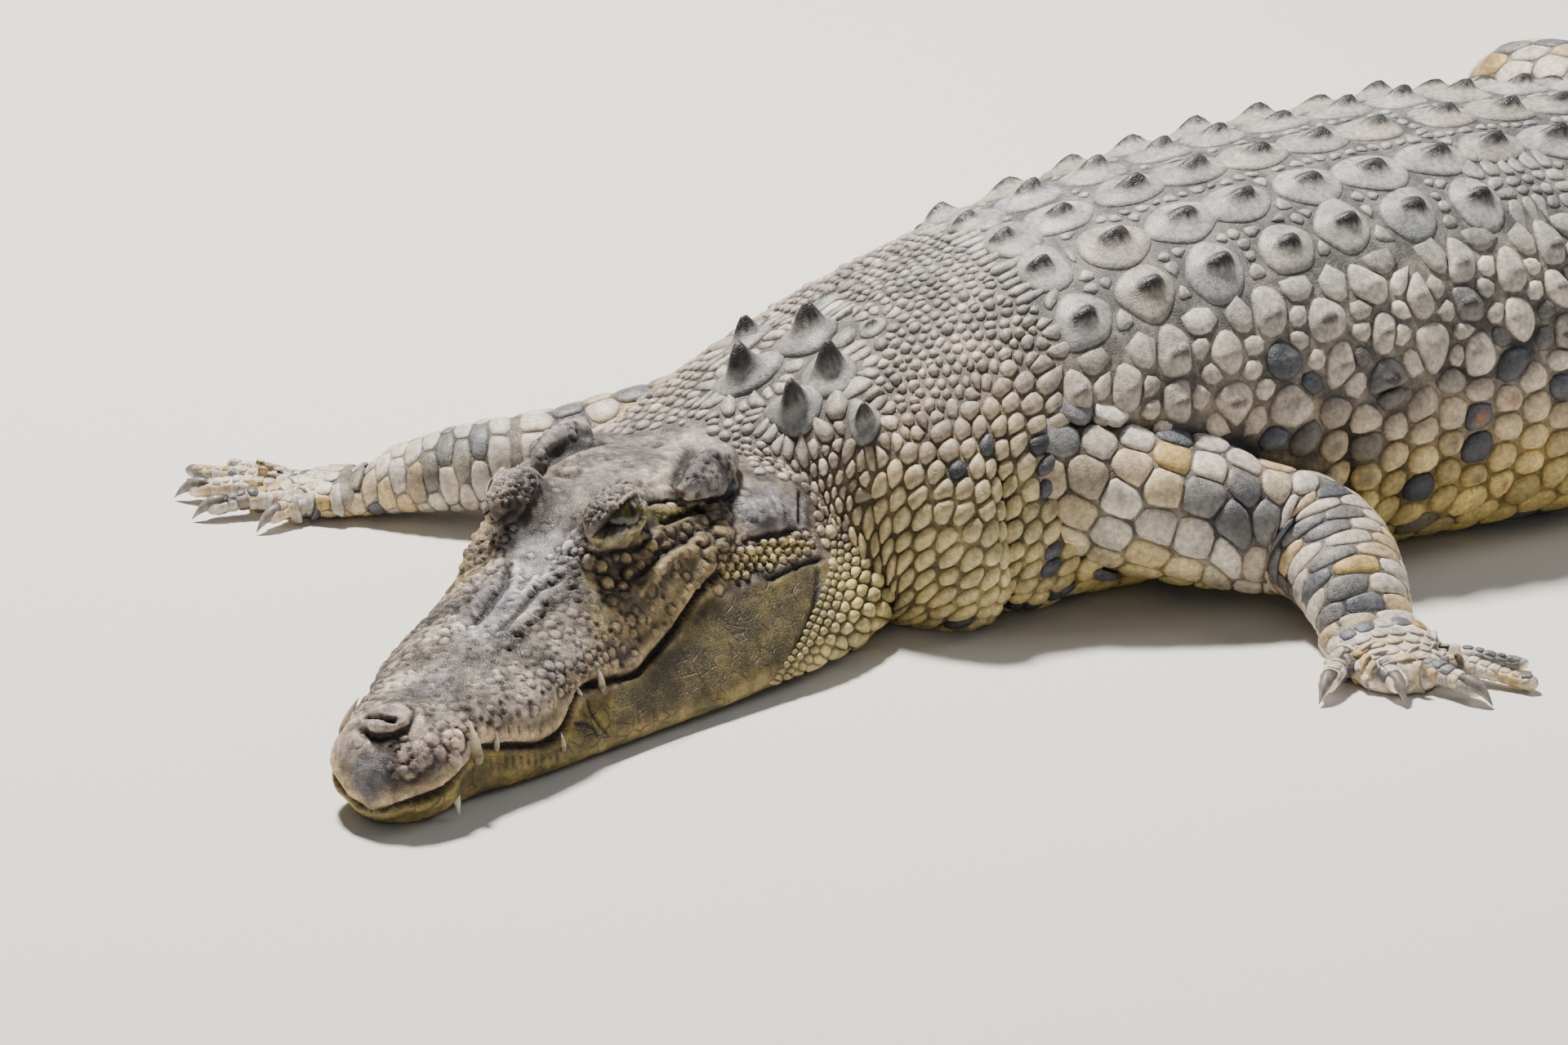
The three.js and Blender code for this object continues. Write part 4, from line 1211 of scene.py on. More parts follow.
        single = (
            (((444, 876), (455, 878), (466, 877), (476, 880), (484, 881.5), (491, 878)), 2.0, -6.0, 1.0),
            (((470, 880), (479, 882.5), (487, 881)), 2.4, -4.0, 1.0),
            (((436, 890), (448, 900), (465, 903.5), (483, 900), (498, 893), (509, 881), (510, 870),
              (503, 862)), 3.2, -4.6, 0.7),
            (((450, 887), (468, 890), (485, 888)), 4.5, 2.4, 0),
            (((473, 915), (484, 909), (493, 904)), 1.6, -2.0, 0.5),
            (((482, 920), (491, 914), (500, 908)), 1.6, -2.0, 0.5),
            (((482, 954), (488, 943), (499, 939)), 2.4, 2.2, 0),
            (((488, 943), (500, 950), (513, 946)), 2.4, 2.0, 0),
            (((699, 886), (716, 884), (729, 892), (732, 906)), 1.6, -1.8, 0.4),
            (((719, 849), (721, 868), (734, 888), (748, 903)), 1.6, -1.6, 0.4),
            (((643, 606), (638, 626), (622, 638), (606, 650)), 2.2, 2.6, 0),
            (((634, 618), (622, 630), (604, 642), (588, 654)), 2.2, -3.0, 0.8),
        )
        clay.strokes(single, False)
        clay.settle()

    def mouth(self, clay: Clay) -> None:
        """The line of the lips, its overhang, and the creases of the lower lip."""
        for side in clay.both(clay.seen(self.MOUTH)):
            local = to_head(side)
            over = in_head(local[:, 0], local[:, 1], local[:, 2] + 0.022)
            clay.stroke(clay.snapped(over), 0.0055, 0.0022, 0.0, 0.05)
            # the mouth's line, the lip creases and the jowl's edge are darkened: painted shade in their
            # grooves
            clay.stroke(side, 0.0026, -0.0078, 1.0, 0.05)
        clay.settle()
        lower = range(600, 690, 9)
        creases = [((x, 921 - 0.05 * (x - 600)), (x + 1.5, 946 - 0.12 * (x - 600))) for x in lower]
        creases += [((x, 884), (x + 1, 903)) for x in range(596, 684, 13)]
        for crease in creases:
            clay.stroke(clay.seen(crease), 0.0011, -0.0011, 0.35, 0.4)
        for edge in clay.both(clay.seen(self.JOWL_EDGE)):
            clay.stroke(edge, 0.0030, -0.0024, 0.75, 0.15)
        clay.settle()

    def lids(self, clay: Clay) -> None:
        """Fine wrinkles of the lids and the small bumps on the pads over the eyes."""
        rng = np.random.default_rng(SEED)
        wrinkles = (
            (((728, 645), (736, 631), (745, 614)), 1.1, -2.2, 0.8),
            (((733, 636), (741, 622), (751, 610)), 1.0, -1.6, 0.7),
            (((738, 641), (744, 636)), 0.9, -1.0, 0.5),
            (((733, 656), (746, 655), (759, 653), (770, 647), (779, 641), (788, 634)), 1.6, 1.4, 0),
        )
        clay.strokes(wrinkles, True)
        for side in (-1, 1):
            for row in range(5):
                for step in range(9):
                    ahead = 0.300 + 0.0125 * step + rng.normal(0, 0.0018)
                    left = 0.060 + 0.0125 * row + 0.004 * (step % 2) + rng.normal(0, 0.0015)
                    if left > 0.075 + 0.5 * (ahead - 0.3) + 0.025 or rng.random() < 0.12:
                        continue
                    start = in_head(ahead, side * left, 0.45)
                    hit = clay.tree.ray_cast(Vector(start), Vector((0, 0, -1)))
                    if hit[0] is not None:
                        radius, height = rng.uniform(0.0024, 0.0034), rng.uniform(0.0014, 0.0022)
                        clay.knob(np.array(hit[0]), radius, height, 0.6)
        clay.settle()

    def bumps(self, clay: Clay) -> None:
        """Hundreds of small bumps and pits over snout and cheeks."""
        rng = np.random.default_rng(SEED + 1)
        points, local = clay.flesh.points, to_head(clay.flesh.points)
        upper = (local[:, 2] > 0.13) & (clay.normals[:, 2] > -0.2)
        snout = ease(local[:, 0], 0.38, 0.5) * (1 - ease(local[:, 0], 0.86, 0.93))
        bare = 1 - 0.8 * hump(local[:, 1], 0, 0.045) * ease(local[:, 0], 0.6, 0.7)
        cheek = 0.35 * ease(np.abs(local[:, 1]), 0.1, 0.16) * ease(local[:, 0], -0.05, 0.1)
        smooth_top = 0.06
        weight = np.where(upper, np.maximum(snout * bare, np.maximum(cheek, smooth_top)), 0.0)
        weight[local[:, 0] < 0.0] = 0.0
        jowl = next(patch for patch in Markings.PATCHES if patch[0] == "jowl")[4]
        weight[inside_distance(self.view.project(on_left(points)), jowl) > -4] = 0.0
        chosen = rng.choice(len(points), self.TRIES, replace=False, p=weight / weight.sum())
        kept: list[int] = []
        tree = search_tree(points[chosen])
        gone = np.zeros(len(chosen), dtype=bool)
        for number, index in enumerate(chosen):
            if gone[number]:
                continue
            for _, other, _ in tree.find_range(points[index], self.BUMP_ROOM):
                gone[other] = True
            kept.append(index)
        for index in kept:
            if rng.random() < self.BUMP_SHARE:
                clay.knob(points[index], rng.uniform(0.0028, 0.0052), rng.uniform(0.0008, 0.0017), 0.4)
            else:
                clay.knob(points[index], rng.uniform(0.0018, 0.0028), -rng.uniform(0.0008, 0.0016), 0.0)
                # each pit is darkened round its middle: painted shade
                near = clay.near(points[index][None], 0.003)[0]
                clay.dark[near] = np.maximum(clay.dark[near], 0.6)
        log.info("head bumps: %d", len(kept))
        clay.settle()

    def build(self) -> Clay:
        """The finished skin of head and nape."""
        clay = Clay(self.rough(), self.view)
        self.strokes(clay)
        self.mouth(clay)
        self.open_eyes(clay)
        clay.renew()
        self.lids(clay)
        self.bumps(clay)
        clay.lift += GRAIN_HEIGHT * fractal(clay.flesh.points, 0.012)
        clay.settle()
        on_ground(clay.flesh.points, LOWEST_SHEET)
        return clay


# ---------- shader node groups ----------
@dataclass
class Nodes:
    """A node tree being written, with the nodes made in order."""

    tree: bpy.types.NodeTree

    @classmethod
    def material(cls, name: str) -> tuple[bpy.types.Material, "Nodes"]:
        """A new material without nodes, and the writer of its tree."""
        material = bpy.data.materials.new(name)
        material.use_nodes = True
        material.node_tree.nodes.clear()
        return material, cls(material.node_tree)

    def add(self, kind: str, inputs: dict | None = None, **settings: object) -> bpy.types.Node:
        """One node, with its settings, its plain values and its links.

        Args:
            kind: the node's type name without ShaderNode.
            inputs: values or output sockets by input name or number.
            settings: properties of the node.

        Returns:
            The node.
        """
        node = self.tree.nodes.new("ShaderNode" + kind)
        for key, value in settings.items():
            setattr(node, key, value)
        for key, value in (inputs or {}).items():
            socket = node.inputs[key]
            if isinstance(value, bpy.types.NodeSocket):
                self.tree.links.new(value, socket)
            else:
                socket.default_value = value
        return node

    def math(self, operation: str, a: object, b: object) -> bpy.types.NodeSocket:
        """The result of a Math node."""
        return self.add("Math", {0: a, 1: b}, operation=operation).outputs[0]

    def mix(self, share: object, a: object, b: object, blend: str = "MIX") -> bpy.types.NodeSocket:
        """Two colours mixed."""
        node = self.add("Mix", {"Factor": share, 6: a, 7: b}, data_type="RGBA", blend_type=blend)
        return node.outputs[2]

    def ramp(self, share: object, low: float, high: float) -> bpy.types.NodeSocket:
        """A value spread from 0 to 1 between two limits."""
        limits = {"Value": share, "From Min": low, "From Max": high}
        return self.add("MapRange", limits, interpolation_type="SMOOTHSTEP").outputs[0]

    def attribute(self, name: str) -> bpy.types.Node:
        """The node that reads one of the mesh's attributes."""
        return self.add("Attribute", attribute_name=name, attribute_type="GEOMETRY")

    def grain(self, scale: float, detail: float = 4.0, rough: float = 0.6) -> bpy.types.NodeSocket:
        """Fine noise fixed to the frame."""
        inputs = {"Vector": self.add("TexCoord").outputs["Object"], "Scale": scale, "Detail": detail}
        return self.add("TexNoise", {**inputs, "Roughness": rough}).outputs["Fac"]

    def cells(self, scale: float, feature: str = "F1") -> bpy.types.NodeSocket:
        """Distances to the nearest random point, or to the cell's edge."""
        inputs = {"Vector": self.add("TexCoord").outputs["Object"], "Scale": scale}
        return self.add("TexVoronoi", inputs, feature=feature).outputs["Distance"]


class Effects:
    """Shader node groups that several finishes share, each made once."""

    made: dict[str, bpy.types.NodeTree] = {}

    @classmethod
    def group(
        cls, name: str, inputs: dict[str, float], outputs: Sequence[str], build: Callable
    ) -> bpy.types.NodeTree:
        """A named group with its sockets, made the first time it is asked for."""
        if name in cls.made:
            return cls.made[name]
        tree = bpy.data.node_groups.new(name, "ShaderNodeTree")
        for key, value in inputs.items():
            socket = tree.interface.new_socket(key, in_out="INPUT", socket_type="NodeSocketFloat")
            socket.default_value = value
        for key in outputs:
            tree.interface.new_socket(key, in_out="OUTPUT", socket_type="NodeSocketFloat")
        nodes = Nodes(tree)
        source = tree.nodes.new("NodeGroupInput")
        target = tree.nodes.new("NodeGroupOutput")
        for key, socket in build(nodes, source.outputs).items():
            tree.links.new(socket, target.inputs[key])
        cls.made[name] = tree
        return tree

    @classmethod
    def leather(cls) -> bpy.types.NodeTree:
        """Creased, pored skin: a height and a mask of its dark pores."""
        def build(nodes: Nodes, given: object) -> dict:
            """Creases and pores from cells, and fine grain."""
            creases = nodes.cells(420.0, "DISTANCE_TO_EDGE")
            lines = nodes.ramp(creases, 0.0, 0.12)
            pores = nodes.ramp(nodes.cells(330.0), 0.10, 0.2)
            fine = nodes.grain(900.0, 3.0)
            height = nodes.math("MULTIPLY", lines, given["Creases"])
            height = nodes.math("ADD", height, nodes.math("MULTIPLY", fine, given["Grain"]))
            height = nodes.math("ADD", height, nodes.math("MULTIPLY", pores, 0.3))
            return {"Height": height, "Pores": nodes.math("SUBTRACT", 1.0, pores)}

        return cls.group("leather", {"Creases": 0.5, "Grain": 0.6}, ("Height", "Pores"), build)

    @classmethod
    def mottling(cls) -> bpy.types.NodeTree:
        """Patches of lighter and darker skin at two sizes, from 0 to 1."""
        def build(nodes: Nodes, _: object) -> dict:
            """Three sizes of noise."""
            wide = nodes.ramp(nodes.grain(34.0, 5.0, 0.62), 0.36, 0.66)
            narrow = nodes.ramp(nodes.grain(210.0, 4.0, 0.6), 0.34, 0.7)
            speckle = nodes.ramp(nodes.grain(520.0, 2.0, 0.5), 0.56, 0.66)
            return {"Wide": wide, "Narrow": narrow, "Speckle": speckle}

        return cls.group("mottling", {}, ("Wide", "Narrow", "Speckle"), build)


@dataclass(frozen=True)
class Hide:
    """Skin and scales, coloured by the mesh's own markings.

    Attributes:
        name: the material's name.
        roughness: the least and the greatest roughness.
        creases: strength of the fine creases.
        bump: depth of the fine relief, in metres.
        contrast: how strongly the mottling changes the colour.
    """

    name: str
    roughness: tuple[float, float] = (0.42, 0.72)
    creases: float = 0.5
    bump: float = 0.0006
    contrast: float = 0.5

    def material(self) -> bpy.types.Material:
        """The finished material."""
        material, nodes = Nodes.material(self.name)
        tint = nodes.attribute("Tint").outputs["Color"]
        dark = nodes.attribute("Dark").outputs["Fac"]
        leather = nodes.add("Group", node_tree=Effects.leather())
        leather.inputs["Creases"].default_value = self.creases
        mottle = nodes.add("Group", node_tree=Effects.mottling())
        low, high = 1.0 - self.contrast, 1.0 + 0.8 * self.contrast
        darker, lighter = (low, low, low * 1.02, 1), (high, high * 0.98, high * 0.93, 1)
        shade = nodes.mix(mottle.outputs["Wide"], darker, lighter)
        colour = nodes.mix(1.0, tint, shade, "MULTIPLY")
        fine = nodes.mix(mottle.outputs["Narrow"], (0.74, 0.74, 0.76, 1), (1.24, 1.23, 1.2, 1))
        colour = nodes.mix(1.0, colour, fine, "MULTIPLY")
        pores = nodes.math("MULTIPLY", leather.outputs["Pores"], 0.35)
        colour = nodes.mix(pores, colour, (0.03, 0.025, 0.02, 1))
        crack = nodes.math("SUBTRACT", 1.0, nodes.ramp(nodes.cells(62.0, "DISTANCE_TO_EDGE"), 0.0, 0.045))
        crack = nodes.math("MULTIPLY", crack, nodes.attribute("Tiles").outputs["Fac"])
        crack = nodes.math("MULTIPLY", crack, nodes.ramp(nodes.grain(40.0, 2.0), 0.40, 0.58))
        colour = nodes.mix(nodes.math("MULTIPLY", crack, 0.6), colour, (0.05, 0.035, 0.02, 1))
        # the Dark attribute darkens creases, grooves, pits, hollows and the feet of scales: painted shade
        colour = nodes.mix(nodes.math("MULTIPLY", dark, 0.93), colour, (0.012, 0.010, 0.009, 1))
        rough = nodes.add(
            "MapRange",
            {"Value": mottle.outputs["Narrow"], "To Min": self.roughness[0], "To Max": self.roughness[1]},
        ).outputs[0]
        height = nodes.math("SUBTRACT", leather.outputs["Height"], nodes.math("MULTIPLY", crack, 1.4))
        relief = nodes.add("Bump", {"Height": height, "Distance": self.bump, "Strength": 1.0})
        shader = nodes.add(
            "BsdfPrincipled",
            {"Base Color": colour, "Roughness": rough, "Normal": relief.outputs["Normal"], "IOR": 1.45},
        )
        nodes.add("OutputMaterial", {"Surface": shader.outputs[0]}).is_active_output = True
        return material


def paint(mesh: bpy.types.Mesh, tint: Array, dark: Array) -> None:
    """Gives a mesh its markings: a colour and a darkness for each point, painted shade included."""
    colour = mesh.color_attributes.new("Tint", "FLOAT_COLOR", "POINT")
    rgba = np.concatenate([np.clip(tint, 0, 1), np.ones((len(tint), 1))], axis=1)
    colour.data.foreach_set("color", rgba.astype(np.float32).ravel())
    shade = mesh.attributes.new("Dark", "FLOAT", "POINT")
    shade.data.foreach_set("value", np.clip(dark, 0, 1).astype(np.float32))


# ---------- the studio ----------
@dataclass
class Studio:
    """A pale floor, soft lamps and even light from all around."""

    floor_size: float = 16.0

    # name, where it hangs, where it points, width, watts, colour
    LAMPS = (
        ("key", (-1.95, -1.25, 4.70), (0.05, -0.7, 0.1), 0.7, 790.0, (1.0, 0.95, 0.88)),
        ("fill", (4.5, -3.2, 2.4), (0.05, -0.9, 0.1), 3.0, 13.0, (0.92, 0.96, 1.0)),
        ("rim", (1.2, 3.4, 3.4), (0.0, -0.6, 0.1), 2.2, 60.0, (0.95, 0.97, 1.0)),
    )
    SKY = (0.86, 0.9, 1.0, 1)
    SKY_STRENGTH = 0.15
    PAPER = (0.72, 0.70, 0.66, 1)

    def build(self) -> None:
        """Makes the floor, the lamps and the world."""
        mesh = bpy.data.meshes.new("studio_floor")
        work = bmesh.new()
        bmesh.ops.create_grid(work, x_segments=8, y_segments=8, size=self.floor_size / 2)
        work.to_mesh(mesh)
        work.free()
        material = bpy.data.materials.new("floor_paper")
        material.use_nodes = True
        shader = material.node_tree.nodes["Principled BSDF"]
        shader.inputs["Base Color"].default_value = self.PAPER
        shader.inputs["Roughness"].default_value = 0.85
        mesh.materials.append(material)
        linked("studio_floor", mesh)
        for lamp in self.LAMPS:
            self.lamp(*lamp)
        world = bpy.data.worlds.new("studio_world")
        world.use_nodes = True
        background = world.node_tree.nodes["Background"]
        background.inputs[0].default_value = self.SKY
        background.inputs[1].default_value = self.SKY_STRENGTH
        bpy.context.scene.world = world

    @staticmethod
    def lamp(name: str, at: Point, target: Point, size: float, watts: float, colour: Colour) -> None:
        """One soft square lamp aimed at a point."""
        data = bpy.data.lights.new(name, "AREA")
        data.size = size
        data.energy = watts
        data.color = colour
        aimed(name, data, at, target)


# ---------- scales ----------
class Shape(Enum):
    """How a scale is raised: its sides, its rings, and the squareness of its corners."""

    GRANULE = (8, (0.45, 0.85), 4.0)
    BEAD = (12, (0.35, 0.66, 0.9), 6.5)
    TILE = (16, (0.4, 0.75, 0.92), 11.0)
    SCUTE = (28, (0.14, 0.28, 0.42, 0.56, 0.7, 0.84, 0.95), 6.0)

    @property
    def sides(self) -> int:
        """Points round the scale."""
        return self.value[0]

    @property
    def rings(self) -> tuple[float, ...]:
        """Distances of its rings from the middle, as shares of its edge's."""
        return (*self.value[1], 1.0, 1.02)

    @property
    def corners(self) -> float:
        """Higher makes its corners sharper."""
        return self.value[2]


@dataclass
class Layout:
    """Scales of one shape laid on a sheet, each with its place, size and markings.

    Attributes:
        shape: how they are raised.
        u: distance of each along the sheet's line.
        v: distance of each round it.
        weight: the room that each takes, compared with its neighbours.
        height: how far each stands out.
        keel: how far its keel stands out.
        tint: its colour.
        stain: the colour of its keel, or of the spot on it.
        spot: how much of it the stain covers, from 0 to 1.
        seat: how far the skin lies above the sheet there.
        aspect: how many times wider round the sheet than along it they are.
    """

    shape: Shape
    u: Array
    v: Array
    weight: Array
    height: Array
    keel: Array
    tint: Array
    stain: Array
    spot: Array
    seat: Array | None = None
    aspect: float = 1.0

    @classmethod
    def of(
        cls, shape: Shape, u: Array, v: Array, height: Array | float, tint: Array,
        weight: Array | float = 1.0, keel: Array | float = 0.0, stain: Array | None = None,
        spot: Array | float = 0.0, aspect: float = 1.0,
    ) -> "Layout":
        """A layout whose single values are spread over all its scales."""
        count = len(u)
        single = (weight, height, keel, spot)
        full = [np.broadcast_to(np.asarray(x, dtype=float), (count,)).copy() for x in single]
        tint = np.broadcast_to(tint, (count, 3)).copy()
        stain = tint * 0.3 if stain is None else np.broadcast_to(stain, (count, 3)).copy()
        places = (np.asarray(u, float), np.asarray(v, float))
        return cls(shape, *places, full[0], full[1], full[2], tint, stain, full[3], aspect=aspect)

    def kept(self, mask: Array) -> "Layout":
        """The layout with only the chosen scales."""
        names = ("u", "v", "weight", "height", "keel", "tint", "stain", "spot")
        return replace(self, **{name: getattr(self, name)[mask] for name in names})


@dataclass
class Coat:
    """The scales of one stretch of the animal, made as one joined mesh.

    Attributes:
        name: the piece's name.
        sheet: what the scales are laid on.
        layouts: the scales.
        gap: half of the room left between two scales.
        far: the greatest distance of a scale's edge from its middle.
        slot: a material slot's name, handed on to scale_piece, which does not use it.
        beside: scales of other coats on the same sheet, which leave no room to these.
        reach: how far over the sheet the skin is looked for.
        most: how far the skin may lie above the sheet where it carries scales.
        loose: how far below the sheet it is looked for, and the least that most is near its start.
        unwrap: places on the unwrap for an array of points, or nothing for the sheet's own.
    """

    name: str
    sheet: Sheet
    layouts: list[Layout]
    gap: float
    far: float
    slot: str
    beside: Sequence[Layout] = ()
    reach: float = 0.03
    most: float = 0.0048
    loose: float = 0.012
    unwrap: Callable | None = None

    START = 0.13  # the stretch from the start of the sheet in which loose counts

    def outlines(self, layout: Layout, u: Array, v: Array, weight: Array) -> Array:
        """Distance of each scale's edge from its middle, in evenly spread directions."""
        everyone = search_tree((*where, 0.0) for where in zip(layout.aspect * u, v))
        turn = circle(layout.shape.sides)
        power = layout.shape.corners
        total = np.full((len(layout.u), len(turn)), (1.0 / self.far) ** power)
        around = 11
        index = np.zeros((len(layout.u), around), dtype=int)
        for i, place_of in enumerate(zip(layout.aspect * layout.u, layout.v)):
            found = everyone.find_n((*place_of, 0.0), around)
            row = [hit[1] for hit in found]
            index[i, : len(row)] = row
            index[i, len(row):] = row[-1]
        du, dv = layout.aspect * (u[index] - layout.u[:, None]), v[index] - layout.v[:, None]
        distance = np.hypot(du, dv)
        share = layout.weight[:, None] / (layout.weight[:, None] + weight[index])
        valid = distance > 1e-5
        edge = np.where(valid, distance * share, 1e9)
        angle = np.arctan2(dv, du)
        for k, direction in enumerate(turn):
            toward = np.maximum(0.0, np.cos(direction - angle)) / edge
            total[:, k] += (toward**power).sum(axis=1)
        return np.maximum(total ** (-1.0 / power) - self.gap, 0.0006)

    def shaped(self, layout: Layout, radius: Array) -> tuple[Array, Array, Array, Array, Array]:
        """Points, faces, colours, darkness and unwrapped places of a layout's scales."""
        shape = layout.shape
        turn = circle(shape.sides)
        rho = np.repeat([0.0, *shape.rings], [1] + [shape.sides] * len(shape.rings))
        angle = np.concatenate([[0.0], np.tile(turn, len(shape.rings))])
        wide = radius.mean(axis=1, keepdims=True)
        edge = np.concatenate([wide, np.tile(radius, (1, len(shape.rings)))], axis=1)
        x, y = edge * rho * np.cos(angle) / layout.aspect, edge * rho * np.sin(angle)
        uu, vv = layout.u[:, None] + x, layout.v[:, None] + y
        flat = np.minimum(rho, 1.0)
        if shape in (Shape.TILE, Shape.SCUTE):
            dome = 0.55 * np.sqrt(1 - flat**6) + 0.45 * (1 - flat**2)
        else:
            dome = np.sqrt(np.clip(1 - flat**2.4, 0, 1))
        along, aside = x / wide, y / wide
        ridge = np.exp(-((aside / 0.27) ** 2)) * ease(along, -0.75, 0.25) * (1 - ease(along, 0.36, 0.66))
        height = layout.height[:, None] * dome + layout.keel[:, None] * ridge
        height = np.where(rho > 1.01, -0.002, height) + layout.seat[:, None]
        points = self.sheet.point(uu, vv) + self.sheet.normal(uu, vv) * height[..., None]
        spot = layout.spot[:, None]
        keeled = np.clip(layout.keel[:, None] / 0.004, 0, 1)
        covered = np.maximum(keeled * ease(ridge, 0.20, 0.46), spot * (1 - ease(rho, 0.12, 0.6)))
        tint = layout.tint[:, None] * (1 - covered[..., None]) + layout.stain[:, None] * covered[..., None]
        # each scale darkens towards its edge: painted shade where it sinks into the groove between scales
        dark = np.broadcast_to(0.5 * ease(rho, 0.9, 1.01), covered.shape)
        ring = np.arange(shape.sides)
        after = np.roll(ring, -1)
        faces = [np.stack([np.zeros_like(ring), 1 + ring, 1 + after], axis=1)]
        for level in range(len(shape.rings) - 1):
            a, b = 1 + level * shape.sides, 1 + (level + 1) * shape.sides
            faces.append(np.stack([a + ring, b + ring, b + after], axis=1))
            faces.append(np.stack([a + ring, b + after, a + after], axis=1))
        single = np.concatenate(faces)
        count = points.shape[1]
        every = (single[None] + (np.arange(len(points)) * count)[:, None, None]).reshape(-1, 3)
        flat_map = np.stack([layout.u[:, None] + 0.94 * x, layout.v[:, None] + 0.94 * y], axis=-1)
        return points.reshape(-1, 3), every, tint.reshape(-1, 3), dark.reshape(-1), flat_map.reshape(-1, 2)

    def build(self, material: bpy.types.Material, skin: BVHTree, stay: Callable) -> bpy.types.Object:
        """Makes the coat, seated on the skin, without the scales that would lie inside other parts.

        Args:
            material: the finish.
            skin: the skin that carries the scales.
            stay: tells for an array of points which scales are wanted there.

        Returns:
            The finished piece.
        """
        layouts = [layout for layout in (*self.layouts, *self.beside) if len(layout.u)]
        u, v, weight = (np.concatenate([getattr(a, key) for a in layouts]) for key in ("u", "v", "weight"))
        made, first = [], None
        for layout in self.layouts:
            lift = self.seats(layout, skin)
            wanted = np.isfinite(lift) & stay(self.sheet.point(layout.u, layout.v))
            if not wanted.any():
                continue
            chosen = replace(layout.kept(wanted), seat=lift[wanted])
            first = first or chosen
            made.append(self.shaped(chosen, self.outlines(chosen, u, v, weight)))
        points, tint, dark, flat_map = (np.concatenate([m[i] for m in made]) for i in (0, 2, 3, 4))
        faces, start = [], 0
        for m in made:
            faces.append(m[1] + start)
            start += len(m[0])
        faces = self.turned_out(points, np.concatenate(faces), first)
        if self.unwrap:
            flat_map = self.unwrap(self.sheet.point(flat_map[:, 0], flat_map[:, 1]))
        return scale_piece(self.name, points, faces, tint, dark, flat_map, material, self.slot)

    def turned_out(self, points: Array, faces: Array, layout: Layout) -> Array:
        """The faces with their corners in the order that points them outward."""
        p = points[faces[0]]
        out = self.sheet.normal(layout.u[:1], layout.v[:1])[0]
        return faces if np.cross(p[1] - p[0], p[2] - p[0]) @ out > 0 else faces[:, ::-1]

    def seats(self, layout: Layout, skin: BVHTree) -> Array:
        """How far the skin lies above the sheet at each scale, or no number where another part covers it."""
        points, normals = self.sheet.point(layout.u, layout.v), self.sheet.normal(layout.u, layout.v)
        lift = np.full(len(points), np.nan)
        for i, (point, normal) in enumerate(zip(points, normals)):
            start = Vector(point + normal * self.reach)
            hit = skin.ray_cast(start, Vector(-normal), self.reach + self.loose)
            most = max(self.most, self.loose if layout.u[i] < self.START else 0.0)
            if hit[0] is not None and self.reach - hit[3] < most:
                lift[i] = self.reach - hit[3]
        return lift


def scale_piece(
    name: str, points: Array, faces: Array, tint: Array, dark: Array, flat: Array,
    material: bpy.types.Material, slot: str,
) -> bpy.types.Object:
    """A joined mesh of scales with its markings and its unwrapped places.

    Args:
        name: the piece's name.
        points: its points.
        faces: its triangles.
        tint: a colour for each point.
        dark: a darkness for each point, mostly painted shade at the scales' feet.
        flat: the place of each point on the unwrap, in metres.
        material: the finish.
        slot: not used.

    Returns:
        The piece.
    """
    on_ground(points, LOWEST)
    mesh = mesh_from(name, Flesh(points, faces))
    paint(mesh, tint, dark)
    low, high = flat.min(axis=0), flat.max(axis=0)
    places = 0.005 + 0.99 * (flat - low) / (high - low).max()
    corner = np.empty(len(mesh.loops), dtype=np.int32)
    mesh.loops.foreach_get("vertex_index", corner)
    layer = mesh.uv_layers.new(name="OFBake")
    layer.data.foreach_set("uv", places[corner].astype(np.float32).ravel())
    return place(name, mesh, material)


# ---------- colours of the animal ----------
def along_stops(share: Array, stops: Sequence[tuple[float, Colour]]) -> Array:
    """Colours blended between stops.

    Args:
        share: where each colour is taken.
        stops: the places and colours of the stops, in order.

    Returns:
        One colour for each share.
    """
    places, colours = zip(*stops)
    return walked(np.array(colours), places, share)


